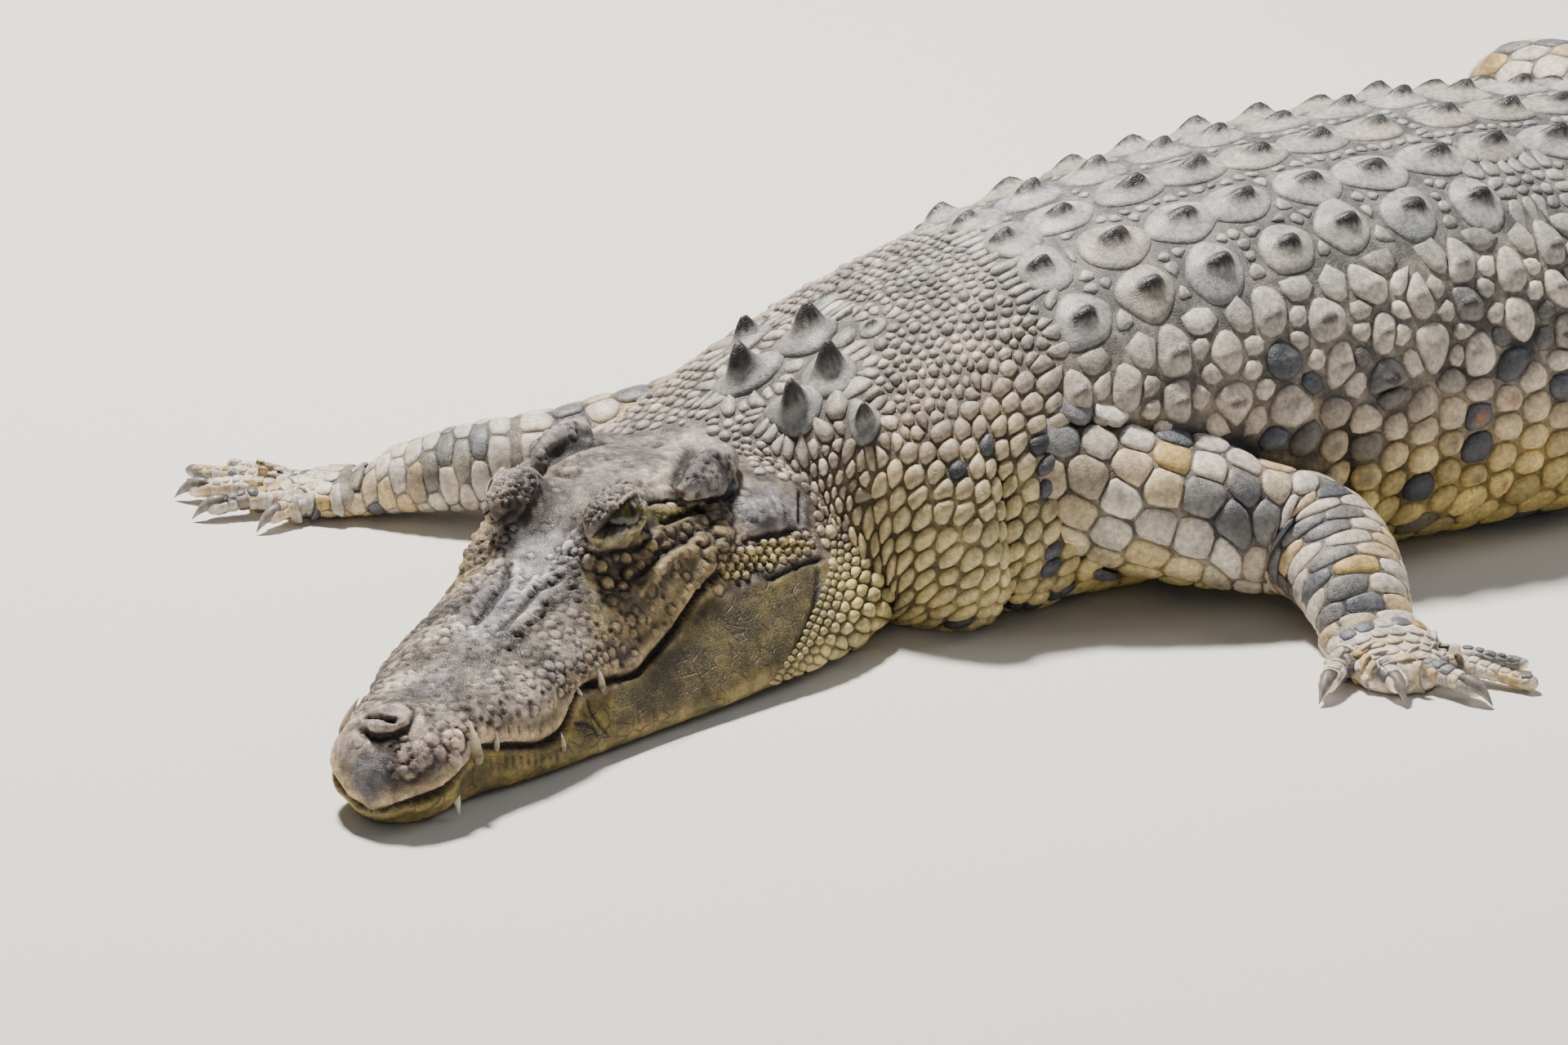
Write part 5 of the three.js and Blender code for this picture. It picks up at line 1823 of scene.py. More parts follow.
@dataclass
class Markings:
    """Colours of the hide, the same for the skin and for the scales over it, with painted shade on the shaded
    sides of the head and flanks lightened as painted light.

    Attributes:
        body: the body unrolled.
        limbs: the arms and legs.
        view: the viewpoint that the head's patches are given from.
    """

    body: Sheet
    limbs: list[Limb]
    view: Viewpoint

    NECK = ((0.0, (0.43, 0.405, 0.38)), (0.20, (0.40, 0.355, 0.32)), (0.32, (0.46, 0.385, 0.285)),
            (0.44, (0.60, 0.50, 0.27)), (0.75, (0.60, 0.49, 0.20)), (1.0, (0.60, 0.54, 0.32)))
    # the flanks' stops, about 0.36 to 0.84 of the way down, are lightened to stand for sunlight on them:
    # partly painted light
    TRUNK = ((0.0, (0.36, 0.37, 0.375)), (0.25, (0.37, 0.365, 0.35)), (0.36, (0.60, 0.545, 0.485)),
             (0.48, (0.62, 0.53, 0.42)), (0.58, (0.66, 0.50, 0.19)), (0.72, (0.66, 0.52, 0.16)),
             (0.84, (0.64, 0.52, 0.19)), (1.0, (0.60, 0.54, 0.34)))
    TAIL = ((0.0, (0.20, 0.20, 0.19)), (0.2, (0.30, 0.28, 0.22)), (0.4, (0.48, 0.41, 0.22)),
            (0.75, (0.58, 0.50, 0.25)), (1.0, (0.60, 0.55, 0.36)))
    SLATE = np.array([0.070, 0.076, 0.088])

    # where the small tiles at the corner of the mouth lie, in the frame
    CORNER_TILES = (
        (880, 712), (868, 722), (884, 690), (908, 672), (948, 659), (994, 652), (1004, 670), (960, 690),
        (912, 706),
    )

    DUST = ((0.15, (0.075, 0.064, 0.057)), (0.45, (0.165, 0.136, 0.116)), (0.7, (0.245, 0.205, 0.176)),
            (1.0, (0.36, 0.318, 0.285)))  # the bare head, from its dark blotches to its light ones
    # the lips' own yellowish brown, darkened as painted shade of their side faces
    LIP = np.array([0.30, 0.225, 0.115])
    # the jaw's yellowish underside, darkened as painted shade
    SHADED_JAW_UNDERSIDE = np.array([0.24, 0.19, 0.075])
    LIMB_TOP = np.array([0.66, 0.60, 0.52])
    LIMB_OCHRE = np.array([0.58, 0.44, 0.24])
    LIMB_UNDER = np.array([0.58, 0.47, 0.19])
    LIMB_SLATE = np.array([0.13, 0.145, 0.17])

    # the head as seen from the viewpoint; it also covers the other side, as in a mirror
    HEAD_OUTLINE = (
        (380, 1040), (380, 700), (560, 520), (700, 470), (800, 480), (850, 520), (900, 556), (925, 585),
        (986, 608), (996, 640), (1006, 668), (1016, 692), (1000, 734), (978, 784), (936, 838), (890, 880),
        (860, 1040),
    )
    # name, colour, strength, softness in the frame, outline in the frame
    PATCHES = (
        ("table", (0.150, 0.133, 0.130), 0.8, 14, (
            (728, 540), (816, 540), (803, 566), (772, 584), (754, 606), (706, 619), (666, 646), (631, 628),
            (631, 584), (666, 566))),
        # bluish grey: a painted sheen over the snout's own grey top
        ("crown of the snout", (0.31, 0.31, 0.345), 0.8, 12, (
            (666, 646), (702, 654), (702, 685), (666, 725), (622, 769), (596, 786), (565, 786), (534, 839),
            (499, 848), (486, 822), (517, 769), (565, 716), (596, 685), (631, 654))),
        # the cheek's brown, darkened as painted shade of the head's side
        ("cheek", (0.19, 0.145, 0.066), 0.85, 14, (
            (719, 685), (772, 672), (798, 650), (842, 637), (886, 628), (908, 654), (895, 685), (860, 729),
            (816, 778), (772, 791), (728, 786), (710, 738))),
        ("nose", (0.30, 0.23, 0.20), 0.7, 10, (
            (480, 874), (570, 879), (583, 914), (574, 936), (530, 945), (476, 936))),
        # the jowl's pale olive, darkened far below its own colour: painted shade
        ("jowl", (0.082, 0.065, 0.021), 1.0, 7, (
            (842, 751), (862, 728), (886, 734), (939, 707), (992, 688), (1030, 686), (1012, 734),
            (990, 790), (946, 846), (890, 884), (842, 905), (798, 920), (754, 935), (702, 952), (706, 900),
            (728, 866), (760, 838), (781, 826), (807, 804), (834, 778))),
        # the lower lip's olive, darkened as painted shade of its side face
        ("lower lip", (0.145, 0.113, 0.026), 1.0, 5, (
            (578, 923), (605, 917), (649, 916), (690, 906), (700, 884), (710, 866), (728, 857), (754, 848),
            (760, 920), (728, 940), (684, 965), (640, 985), (596, 1000), (552, 1016), (508, 1024),
            (450, 1024), (440, 1004), (480, 992), (520, 979), (552, 967))),
        ("tip", (0.11, 0.105, 0.12), 0.9, 9, (
            (410, 923), (446, 914), (473, 924), (480, 950), (462, 984), (446, 1000), (410, 1000))),
        # dark: partly painted shade of the hump's front face
        ("hump", (0.11, 0.105, 0.115), 0.7, 16, (
            (822, 585), (838, 552), (862, 536), (886, 556), (906, 578), (906, 606), (880, 612), (846, 606))),
        ("back of the jaw", (0.17, 0.165, 0.175), 0.9, 9, (
            (899, 612), (926, 597), (970, 606), (984, 624), (980, 646), (948, 650), (917, 646))),
        ("corner of the mouth", (0.36, 0.29, 0.13), 1.0, 6, (
            (904, 676), (948, 660), (990, 653), (1000, 672), (939, 694), (889, 716), (880, 700))),
        ("ear flap", (0.115, 0.095, 0.036), 1.0, 4, (
            (787, 621), (816, 614), (860, 617), (884, 616), (846, 636), (806, 646), (794, 638))),
        ("lower lid", (0.20, 0.17, 0.085), 0.9, 4, (
            (722, 658), (750, 657), (768, 652), (782, 640), (792, 620), (800, 636), (790, 658), (766, 670),
            (735, 673))),
    )

    def mirrored(self, points: Array) -> Array:
        """Places in the frame of points of the head, taken on its left side."""
        return self.view.project(on_left(points))

    def headness(self, points: Array) -> Array:
        """How much each point belongs to the head, from 0 to 1."""
        behind = to_head(points)[:, 0] < -0.5
        share = ease(inside_distance(self.mirrored(points), self.HEAD_OUTLINE), -9.0, 5.0)
        return np.where(behind, 0.0, share)

    def head(self, points: Array) -> Array:
        """Colours of the head, with painted shade on its side faces and under the jaw."""
        places = self.mirrored(points)
        local = to_head(points)
        wide, fine, grain = fractal(points, 0.045), fractal(points, 0.012), fractal(points + 5.3, 0.0055)
        colour = along_stops(0.5 + 0.9 * wide + 0.35 * fine, self.DUST)
        lip = np.min([np.linalg.norm(places - corner, axis=1) for corner in self.lip_line()], axis=0)
        colour = blend(colour, self.LIP, 0.75 * (1 - ease(lip, 12.0, 46.0)))
        for _, tint, strength, soft, outline in self.PATCHES:
            share = strength * ease(inside_distance(places, outline) + 6 * fine, -soft, soft)
            colour = blend(colour, np.array(tint) * (1 + 0.28 * wide + 0.22 * fine)[:, None], share)
        upper = ease(places[:, 1] - np.interp(places[:, 0], (430, 700, 880), (960, 880, 700)), 10.0, -40.0)
        colour = colour * (1 + (0.10 + 0.38 * upper) * np.clip(grain, -0.9, 0.9))[:, None]
        # darker towards the bottom: painted shade under the jaw
        return blend(colour, self.SHADED_JAW_UNDERSIDE, 0.6 * (1 - ease(local[:, 2], 0.035, 0.075)))

    @staticmethod
    def lip_line() -> Array:
        """Places along the mouth, in the frame."""
        corners = np.array(HeadForm.MOUTH)
        return walked(corners, range(len(corners)), np.linspace(0, len(corners) - 1, 70))

    def trunk(self, u: Array, v: Array, points: Array) -> Array:
        """Colours of neck, trunk and tail."""
        share = np.abs(v) / self.body.half(u)
        neck, tail = 1 - ease(u, 0.20, 0.34), ease(u, 1.1, 1.4)
        colour = blend(along_stops(share, self.TRUNK), along_stops(share, self.NECK), neck)
        colour = blend(colour, along_stops(share, self.TAIL), tail)
        wide, fine = fractal(points, 0.10), fractal(points + 3.1, 0.030)
        band = 0.5 + 0.5 * np.sin(u * 2 * math.pi / 0.115 + 2.2 * wide)
        dark = ease(0.55 * wide + 0.35 * fine + 0.28 * band * ease(u, 0.4, 1.3), 0.17, 0.26)
        dark *= ease(share, 0.22, 0.36) * (1 - ease(share, 0.80, 0.95)) * ease(u, 0.24, 0.4) * 0.85
        return blend(colour * (1 + 0.18 * wide + 0.15 * fine)[:, None], self.SLATE, dark)

    def limb(self, v: Array, points: Array) -> Array:
        """Colours of arms and legs."""
        under = ease(np.abs(v), 0.10, 0.17)
        wide, fine = fractal(points + 7.7, 0.055), fractal(points + 1.3, 0.02)
        top = blend(self.LIMB_TOP, self.LIMB_OCHRE, ease(fine + 0.6 * wide, -0.1, 0.35))
        colour = blend(top, self.LIMB_UNDER, under) * (1 + 0.2 * fine)[:, None]
        dark = 0.9 * ease(0.7 * wide + 0.3 * fine, 0.20, 0.30) * (1 - 0.8 * under)
        return blend(colour, self.LIMB_SLATE, dark)

    def skin(self, points: Array) -> tuple[Array, Array]:
        """Colours of the skin, with painted shade between the scales, and how much of it shows small tiles of
        its own.

        Args:
            points: points of the skin.

        Returns:
            A colour and a share of tiles for each point.
        """
        grids, owners, places = [], [], []
        for number, sheet in enumerate([self.body, *(limb.sheet for limb in self.limbs)]):
            rows, columns = sheet.surface.shape[:2]
            uu = np.repeat(sheet.u, columns)
            vv = (np.linspace(-1, 1, columns)[None] * sheet.half_girth[:, None]).ravel()
            pick = (np.arange(rows * columns) % 2) == 0
            grids.append(sheet.surface.reshape(-1, 3)[pick])
            places.append(np.column_stack([uu, vv])[pick])
            owners.append(np.full(pick.sum(), number))
        every, owner, where = np.concatenate(grids), np.concatenate(owners), np.concatenate(places)
        tree = search_tree(every)
        found = [tree.find(point) for point in points]
        nearest = np.array([hit[1] for hit in found])
        away = np.array([hit[2] for hit in found])
        u, v, number = where[nearest, 0], where[nearest, 1], owner[nearest]
        colour = np.where((number == 0)[:, None], self.trunk(u, v, points), self.limb(v, points))
        hand = (number > 0) & (away > 0.012)
        # the skin between the scales is darkened to 0.28: painted shade in the gaps; bare skin of hands and
        # digits keeps 0.9
        covered = colour * np.where(hand, 0.9, 0.28)[:, None]
        share = self.headness(points)
        places = self.mirrored(points)
        smooth = [patch for patch in self.PATCHES if patch[0] in ("jowl", "lower lip")]
        cracked = np.max([ease(inside_distance(places, patch[4]), -4, 12) for patch in smooth], axis=0)
        return blend(covered, self.head(points), share), cracked * share


# ---------- where the scales lie ----------
@dataclass
class BodyCoat:
    """Lays the scales of nape, back, flanks, belly and tail over the body's sheet."""

    sheet: Sheet
    markings: Markings
    rng: np.random.Generator = field(default_factory=lambda: np.random.default_rng(SEED + 2))

    MIDDLE = -0.010  # the rows of the back lie round this distance from the top
    NUCHAL = (  # the great plates of the nape: along, across, size compared with the others, peak's height
        (0.054, 0.062, 1.0, 0.024), (0.064, -0.012, 1.0, 0.024), (0.102, 0.056, 1.0, 0.024),
        (0.122, -0.006, 1.0, 0.020), (0.094, 0.116, 0.72, 0.016), (0.100, -0.068, 0.72, 0.016),
        (0.156, 0.034, 0.5, 0.004), (0.158, -0.046, 0.5, 0.004),
    )
    BACK_ROWS, BACK_START, BACK_PITCH = 16, 0.278, 0.0605
    BACK_COLUMNS = (0.0310, 0.0925, 0.1500)  # distances of the plates from the middle
    NECK_END = 0.262
    RUST, SOOT = np.array([[0.40, 0.17, 0.03]]), np.array([[0.07, 0.06, 0.05]])

    def rows(
        self, first: float, last: float, pitch: float, low: Callable | float, high: Callable | float,
        spacing: Callable | float, jitter: float,
    ) -> tuple[Array, Array]:
        """Staggered places in rows across the body.

        Args:
            first: where along the body they begin.
            last: where they end.
            pitch: distance between rows.
            low: the distance from the top where each row begins, or what gives it for a place along the body.
            high: the distance where it ends, or what gives it.
            spacing: distance between places in a row, or what gives it.
            jitter: how irregular they are, as a share of the distances.

        Returns:
            Their distances along and round the body.
        """
        def at(value: Callable | float, u: float) -> float:
            """The value at a place along the body."""
            return value(u) if callable(value) else value

        places = []
        for number, u in enumerate(np.arange(first, last, pitch)):
            step = at(spacing, u)
            for side in (-1, 1):
                v = np.arange(at(low, u) + step * (0.25 + 0.5 * (number % 2)), at(high, u), step)
                places.append(np.column_stack([np.full(len(v), u), side * v]))
        flat = np.concatenate(places)
        flat += self.rng.normal(0, jitter, flat.shape) * (pitch, at(spacing, first))
        return flat[:, 0], flat[:, 1]

    def coloured(self, u: Array, v: Array, spread: float = 0.10) -> Array:
        """Colours of scales, each a little different."""
        base = self.markings.trunk(u, v, self.sheet.point(u, v))
        base = base * self.rng.lognormal(0, spread, len(u))[:, None]
        share = np.abs(v) / self.sheet.half(u)
        odd = (self.rng.random(len(u)) < np.where(u < 0.15, 0.0, 0.09)) & (share > 0.30) & (share < 0.74)
        return np.where(odd[:, None], self.markings.SLATE * self.rng.uniform(0.8, 1.6, len(u))[:, None], base)

    def nape(self) -> list[Layout]:
        """The great plates of the nape and the small cone-shaped scales round them."""
        along, across, size, peak = np.array(self.NUCHAL).T
        plates = Layout.of(
            Shape.SCUTE, along, across, height=0.0055 * size + 0.001, tint=np.array([0.30, 0.30, 0.29]),
            weight=size * 3.4, keel=peak, stain=np.array([0.045, 0.042, 0.042]),
        )
        u, v = self.rows(-0.06, self.NECK_END, pitch=0.0100, low=0.0,
                         high=lambda u: 0.150 + 0.03 * ease(u, 0.1, 0.0), spacing=0.0108, jitter=0.16)
        away = np.min(np.hypot(u[:, None] - along, v[:, None] - across) - 0.031 * size, axis=1)
        keep = away > 0.0035
        u, v = u[keep], v[keep]
        big = self.rng.random(len(u)) < 0.12
        small = Layout.of(
            Shape.GRANULE, u, v, height=np.where(big, 0.0046, 0.0030), tint=self.coloured(u, v, 0.22),
            weight=np.where(big, 1.5, 1.0),
        )
        return [plates, small]

    def neck_sides(self) -> list[Layout]:
        """Round beads on the sides of the neck, in lines across it."""
        u, v = self.rows(-0.06, self.NECK_END, pitch=0.0175, low=lambda u: 0.158 + 0.03 * ease(u, 0.1, 0.0),
                         high=lambda u: 0.70 * self.sheet.half(u), spacing=0.0165, jitter=0.10)
        share = np.abs(v) / self.sheet.half(u)
        beads = Layout.of(
            Shape.BEAD, u, v, height=0.0052, tint=self.coloured(u, v, 0.09),
            weight=self.rng.uniform(0.85, 1.15, len(u)),
            spot=np.where(self.rng.random(len(u)) < 0.10 * (share > 0.35), 0.7, 0.0),
        )
        return [beads]

    def back(self) -> list[Layout]:
        """Keeled plates along the back, three on either side of the middle."""
        u, v, size = [], [], []
        for row in range(self.BACK_ROWS):
            at = self.BACK_START + self.BACK_PITCH * row
            for column, far in enumerate(self.BACK_COLUMNS):
                for side in (-1, 1):
                    if column == 2 and self.rng.random() < 0.16:
                        continue
                    u.append(at + 0.010 * column + self.rng.normal(0, 0.0022))
                    v.append(self.MIDDLE + side * far + self.rng.normal(0, 0.0018))
                    size.append((1.0, 0.97, 0.8)[column] * self.rng.uniform(0.94, 1.05))
        u, v, size = np.array(u), np.array(v), np.array(size)
        grey = np.array([0.375, 0.385, 0.385]) * self.rng.lognormal(0, 0.10, len(u))[:, None]
        brown = np.array([0.40, 0.36, 0.305]) * self.rng.lognormal(0, 0.08, len(u))[:, None]
        share = self.rng.beta(0.8, 1.4, len(u))[:, None]
        plates = Layout.of(
            Shape.SCUTE, u, v, height=0.0046, tint=grey * (1 - share) + brown * share, weight=size * 2.6,
            keel=0.0105 * self.rng.uniform(0.7, 1.2, len(u)) * size, stain=np.array([0.040, 0.038, 0.040]),
        )
        along = np.arange(self.NECK_END + 0.004, TAIL_START - 0.005, 0.0130)
        across = np.arange(-0.183, 0.164, 0.0130)
        uu, vv = (grid.ravel() + self.rng.normal(0, 0.0016, grid.size) for grid in np.meshgrid(along, across))
        tree = search_tree((*where, 0.0) for where in zip(u, v))
        room = [tree.find((*where, 0.0)) for where in zip(uu, vv)]
        free = np.array([max(abs(where[0] - hit[0][0]) / 0.030, abs(where[1] - hit[0][1]) / 0.0275) > 1.04
                         or hit[2] > 0.0365 * size[hit[1]] for where, hit in zip(zip(uu, vv), room)])
        uu, vv = uu[free], vv[free]
        tint = self.coloured(uu, vv, 0.14)
        small = Layout.of(Shape.GRANULE, uu, vv, 0.0024, tint, weight=self.rng.uniform(0.30, 0.5, len(uu)))
        return [plates, small]

    def flanks(self) -> list[Layout]:
        """Oval scales with small ones between them, smaller and squarer towards the belly."""
        first, last = self.NECK_END + 0.012, TAIL_START
        u, v = self.rows(first, last, pitch=0.0435, low=0.186, high=0.275, spacing=0.0390, jitter=0.06)
        ovals = Layout.of(
            Shape.SCUTE, u, v, height=0.0056, tint=self.coloured(u, v, 0.12), weight=1.9,
            keel=0.0036 * self.rng.uniform(0.3, 1.2, len(u)), stain=self.coloured(u, v) * 0.35,
        )
        u, v = self.rows(first + 0.0218, last, pitch=0.0435, low=0.180, high=0.275, spacing=0.0195,
                         jitter=0.10)
        beads = Layout.of(Shape.GRANULE, u, v, height=0.0034, tint=self.coloured(u, v, 0.2), weight=1.05)
        u, v = self.rows(first, last, pitch=0.0265, low=0.285, high=lambda u: 0.64 * self.sheet.half(u),
                         spacing=0.0245, jitter=0.07)
        middle = Layout.of(
            Shape.BEAD, u, v, height=0.0064, tint=self.coloured(u, v, 0.16),
            weight=self.rng.uniform(0.85, 1.2, len(u)),
            spot=np.where(self.rng.random(len(u)) < 0.3, 0.75, 0.0),
            stain=np.where((self.rng.random(len(u)) < 0.5)[:, None], self.RUST, self.SOOT),
        )
        u, v = self.rows(first, last, pitch=0.0300, low=lambda u: 0.66 * self.sheet.half(u),
                         high=lambda u: 0.80 * self.sheet.half(u), spacing=0.0285, jitter=0.04)
        low = Layout.of(Shape.TILE, u, v, height=0.0036, tint=self.coloured(u, v, 0.07))
        return [ovals, beads, middle, low]

    def belly(self) -> list[Layout]:
        """Flat square scales under throat, belly and tail."""
        u, v = self.rows(0.0, TAIL_START, pitch=0.0340, low=lambda u: 0.82 * self.sheet.half(u),
                         high=lambda u: self.sheet.half(u) - 0.012, spacing=0.0340, jitter=0.02)
        return [Layout.of(Shape.TILE, u, v, height=0.0014, tint=self.coloured(u, v, 0.05))]

    def tail(self) -> list[Layout]:
        """Rings of upright scales round the tail, keeled near the crest."""
        def low(u: float) -> float:
            """Where the crest ends."""
            return 0.012 + Crest.apart(self.sheet, u)

        last = self.sheet.u[-1] - 0.012
        u, v = self.rows(TAIL_START + 0.004, last, pitch=0.0405, low=lambda u: low(u) * 0.25,
                         high=lambda u: self.sheet.half(u) - 0.006,
                         spacing=lambda u: max(0.013, self.sheet.half(u) / 9.0), jitter=0.025)
        share = np.abs(v) / self.sheet.half(u)
        keel = 0.004 * (1 - ease(share, 0.15, 0.45)) * (1 - ease(u, 1.8, 2.6))
        size = 1 - 0.55 * ease(u, 1.3, 2.8)
        plates = Layout.of(
            Shape.TILE, u, v, height=0.0042 * size, tint=self.coloured(u, v, 0.10), keel=keel * size,
            stain=np.array([0.05, 0.05, 0.05]),
        )
        return [plates]


@dataclass
class Crest:
    """The tall scales along the tail: two rows that draw together into one."""

    sheet: Sheet
    whorls: int = 39
    sides: int = 14
    levels: int = 9
    rng: np.random.Generator = field(default_factory=lambda: np.random.default_rng(SEED + 5))

    REACH = 0.95  # the share of the tail's length that carries the crest
    SINGLE_FROM = 0.42  # the share of the tail behind which one row is left

    @classmethod
    def apart(cls, sheet: Sheet, u: float) -> float:
        """Distance of a row of the crest from the top of the tail."""
        share = (u - TAIL_START) / (TAIL_LENGTH * cls.REACH)
        if share >= cls.SINGLE_FROM:
            return 0.0
        wide = sheet.half(u) * 0.33
        return float(0.55 * wide * (1 - max(share, 0.0) / 0.52))

    def build(self, material: bpy.types.Material) -> bpy.types.Object:
        """Makes the crest as one joined mesh."""
        points, faces, tint, dark, flat = [], [], [], [], []
        turn = circle(self.sides)
        ring = np.arange(self.sides)
        after = np.roll(ring, -1)
        start = 0
        for share in np.linspace(0, 1, self.whorls):
            u = TAIL_START + self.REACH * share * TAIL_LENGTH
            offset = self.apart(self.sheet, u)
            tall = (20 + 34 * math.sin(math.pi * min(1.0, share + 0.12)) ** 1.5) * 0.001
            long, wide = 0.046 - 0.018 * share, 0.012 - 0.005 * share
            for side in ((-1, 1) if offset > 0.006 else (0,)):
                v = side * offset
                before, foot, behind = self.sheet.point(np.array([u - 0.01, u, u + 0.01]), np.full(3, v))
                out = unit(self.sheet.normal(np.array([u]), np.array([v]))[0] * (1, 1, 1.6))
                ahead = unit(before - behind)
                across = unit(np.cross(out, ahead))
                lean = self.rng.normal(0, 0.05)
                rings = []
                for level in range(self.levels):
                    t = level / (self.levels - 1)
                    rise = -0.012 + (tall * self.rng.uniform(0.995, 1.0) + 0.012) * t
                    half_long = 0.5 * long * (1.06 - 0.98 * t**1.7)
                    half_wide = 0.5 * wide * (1.0 - 0.93 * t**0.8)
                    back = -0.42 * long * t**1.8
                    flat_ring = np.sign(np.cos(turn)) * np.abs(np.cos(turn)) ** 0.9 * half_long
                    rings.append(
                        foot + out * rise + across * (lean * rise) + ahead * (flat_ring + back)[:, None]
                        + across * (np.sin(turn) * half_wide)[:, None]
                    )
                    spread = 0.47 * (1 - 0.9 * t)
                    unrolled = (u + np.cos(turn) * long * spread, v + np.sin(turn) * wide * spread)
                    flat.append(np.column_stack(unrolled))
                    shade = np.array([0.16, 0.155, 0.14]) * (1 + 1.2 * t * t)
                    tint.append(np.tile(shade, (self.sides, 1)))
                    # darker at the foot: painted shade where the scale meets the tail
                    dark.append(np.full(self.sides, 0.55 * (1 - ease(t, 0.1, 0.4))))
                tip = foot + out * tall + across * (lean * tall) - ahead * 0.46 * long
                points.extend([*rings, tip[None]])
                flat.append(np.array([[u, v]]))
                tint.append(np.array([[0.30, 0.29, 0.26]]))
                dark.append(np.zeros(1))
                for level in range(self.levels - 1):
                    a, b = start + level * self.sides, start + (level + 1) * self.sides
                    faces.append(np.stack([a + ring, a + after, b + after], 1))
                    faces.append(np.stack([a + ring, b + after, b + ring], 1))
                a, top = start + (self.levels - 1) * self.sides, start + self.levels * self.sides
                faces.append(np.stack([a + ring, a + after, np.full_like(ring, top)], 1))
                foot_fan = (start + after[1:-1], start + ring[1:-1], np.full(self.sides - 2, start))
                faces.append(np.stack(foot_fan, 1))
                start = top + 1
        whole = (np.concatenate(rows) for rows in (points, faces, tint, dark, flat))
        return scale_piece("tail_crest", *whole, material, "tail")


@dataclass
class Collar:
    """The skin behind the left jowl, unrolled as the viewpoint sees it, and the beads on it.

    Attributes:
        view: the viewpoint.
        skin: the skin.
    """

    view: Viewpoint
    skin: BVHTree
    rng: np.random.Generator = field(default_factory=lambda: np.random.default_rng(SEED + 9))

    CORNER = (884.0, 600.0)  # in the frame
    CELLS = (66, 79)
    CELL = 4.0  # in the frame
    SCALE = 0.00088  # metres for one step in the frame
    EDGE = (
        (1014, 634), (1020, 668), (1019, 692), (1004, 735), (981, 785), (942, 838), (900, 884), (880, 905),
    )
    OUTLINE = (
        (1008, 636), (1018, 668), (1018, 692), (1003, 734), (980, 784), (940, 838), (890, 890), (900, 920),
        (1010, 870), (1062, 812), (1100, 790), (1100, 745), (1088, 712), (1070, 688), (1050, 666),
        (1034, 640),
    )

    def __post_init__(self) -> None:
        """Looks the skin up on a grid of the frame."""
        rows, columns = self.CELLS
        grid = np.full((rows, columns, 3), np.nan)
        for i in range(rows):
            for j in range(columns):
                x, y = self.CORNER[0] + self.CELL * i, self.CORNER[1] + self.CELL * j
                hit = self.view.cast(x, y, self.skin)
                if hit is not None:
                    grid[i, j] = hit
            known = ~np.isnan(grid[i, :, 0])
            grid[i, ~known] = walked(grid[i, known], np.flatnonzero(known), np.flatnonzero(~known))
        even = gaussian_rows(grid.reshape(rows, -1), 1.3).reshape(grid.shape).swapaxes(0, 1)
        even = gaussian_rows(even.reshape(columns, -1), 1.3).reshape(even.shape).swapaxes(0, 1)
        step = self.CELL * self.SCALE
        self.sheet = Sheet(np.arange(rows) * step, even, np.full(rows, 0.5 * (columns - 1) * step))
        if (self.sheet.normal_grid @ self.view.axes()[2]).sum() < 0:
            self.sheet.normal_grid *= -1

    def covers(self, points: Array) -> Array:
        """Which points lie where the collar's own beads stand."""
        places = self.view.project(points)
        inside = inside_distance(places, self.OUTLINE) > 4
        for i in np.flatnonzero(inside):
            hit = self.view.cast(*places[i], self.skin)
            inside[i] = hit is not None and np.linalg.norm(hit - points[i]) < 0.04
        return inside

    def layout(self) -> Layout:
        """Beads in lines that follow the edge of the jowl, larger and larger away from it."""
        edge = np.array(self.EDGE, dtype=float)
        run = run_along(edge)
        places, away = [], -7.0
        for number in range(13):
            pitch = min(max(9.0, 5.0 + 2.2 * number), 19.0)
            along = np.arange(0.5 * pitch * (number % 2), run[-1], 1.05 * pitch)
            at = walked(edge, run, along) + np.array([0.94, 0.34]) * away
            places.append(np.column_stack([at, np.full(len(at), pitch)]))
            away += 0.95 * pitch
        x, y, pitch = np.concatenate(places).T
        x, y = (value + self.rng.normal(0, 0.07, len(x)) * pitch for value in (x, y))
        seen = np.array([self.view.cast(*where, self.skin) is not None for where in zip(x, y)])
        x, y, pitch = x[seen], y[seen], pitch[seen]
        u = (x - self.CORNER[0]) * self.SCALE
        v = (y - self.CORNER[1]) * self.SCALE - self.sheet.half_girth[0]
        near = (1 - ease(pitch, 9.0, 15.0))[:, None]
        tint = blend(np.array([0.34, 0.30, 0.24]), np.array([0.58, 0.49, 0.22]), ease(y, 645.0, 700.0))
        tint = tint * (1 - 0.35 * near) * self.rng.lognormal(0, 0.09, len(x))[:, None]
        height = 0.0022 + 0.0028 * (pitch - 9.0) / 10.0
        return Layout.of(Shape.BEAD, u, v, height, tint, weight=pitch / 19.0)

    def build(self, material: bpy.types.Material) -> None:
        """Makes the coat behind the jowl."""
        def within(points: Array) -> Array:
            """Which beads stand inside the outline."""
            return inside_distance(self.view.project(points), self.OUTLINE) > 0.5

        def round_the_head(points: Array) -> Array:
            """Places of points on a cylinder round the head's own line: along it, and round it."""
            local = to_head(points)
            return np.column_stack([local[:, 0], 0.25 * np.arctan2(local[:, 1], local[:, 2] - 0.10)])

        coat = Coat("coat_collar", self.sheet, [self.layout()], gap=0.0006, far=0.020, slot="underside",
                    most=0.012, unwrap=round_the_head)
        coat.build(material, self.skin, within)


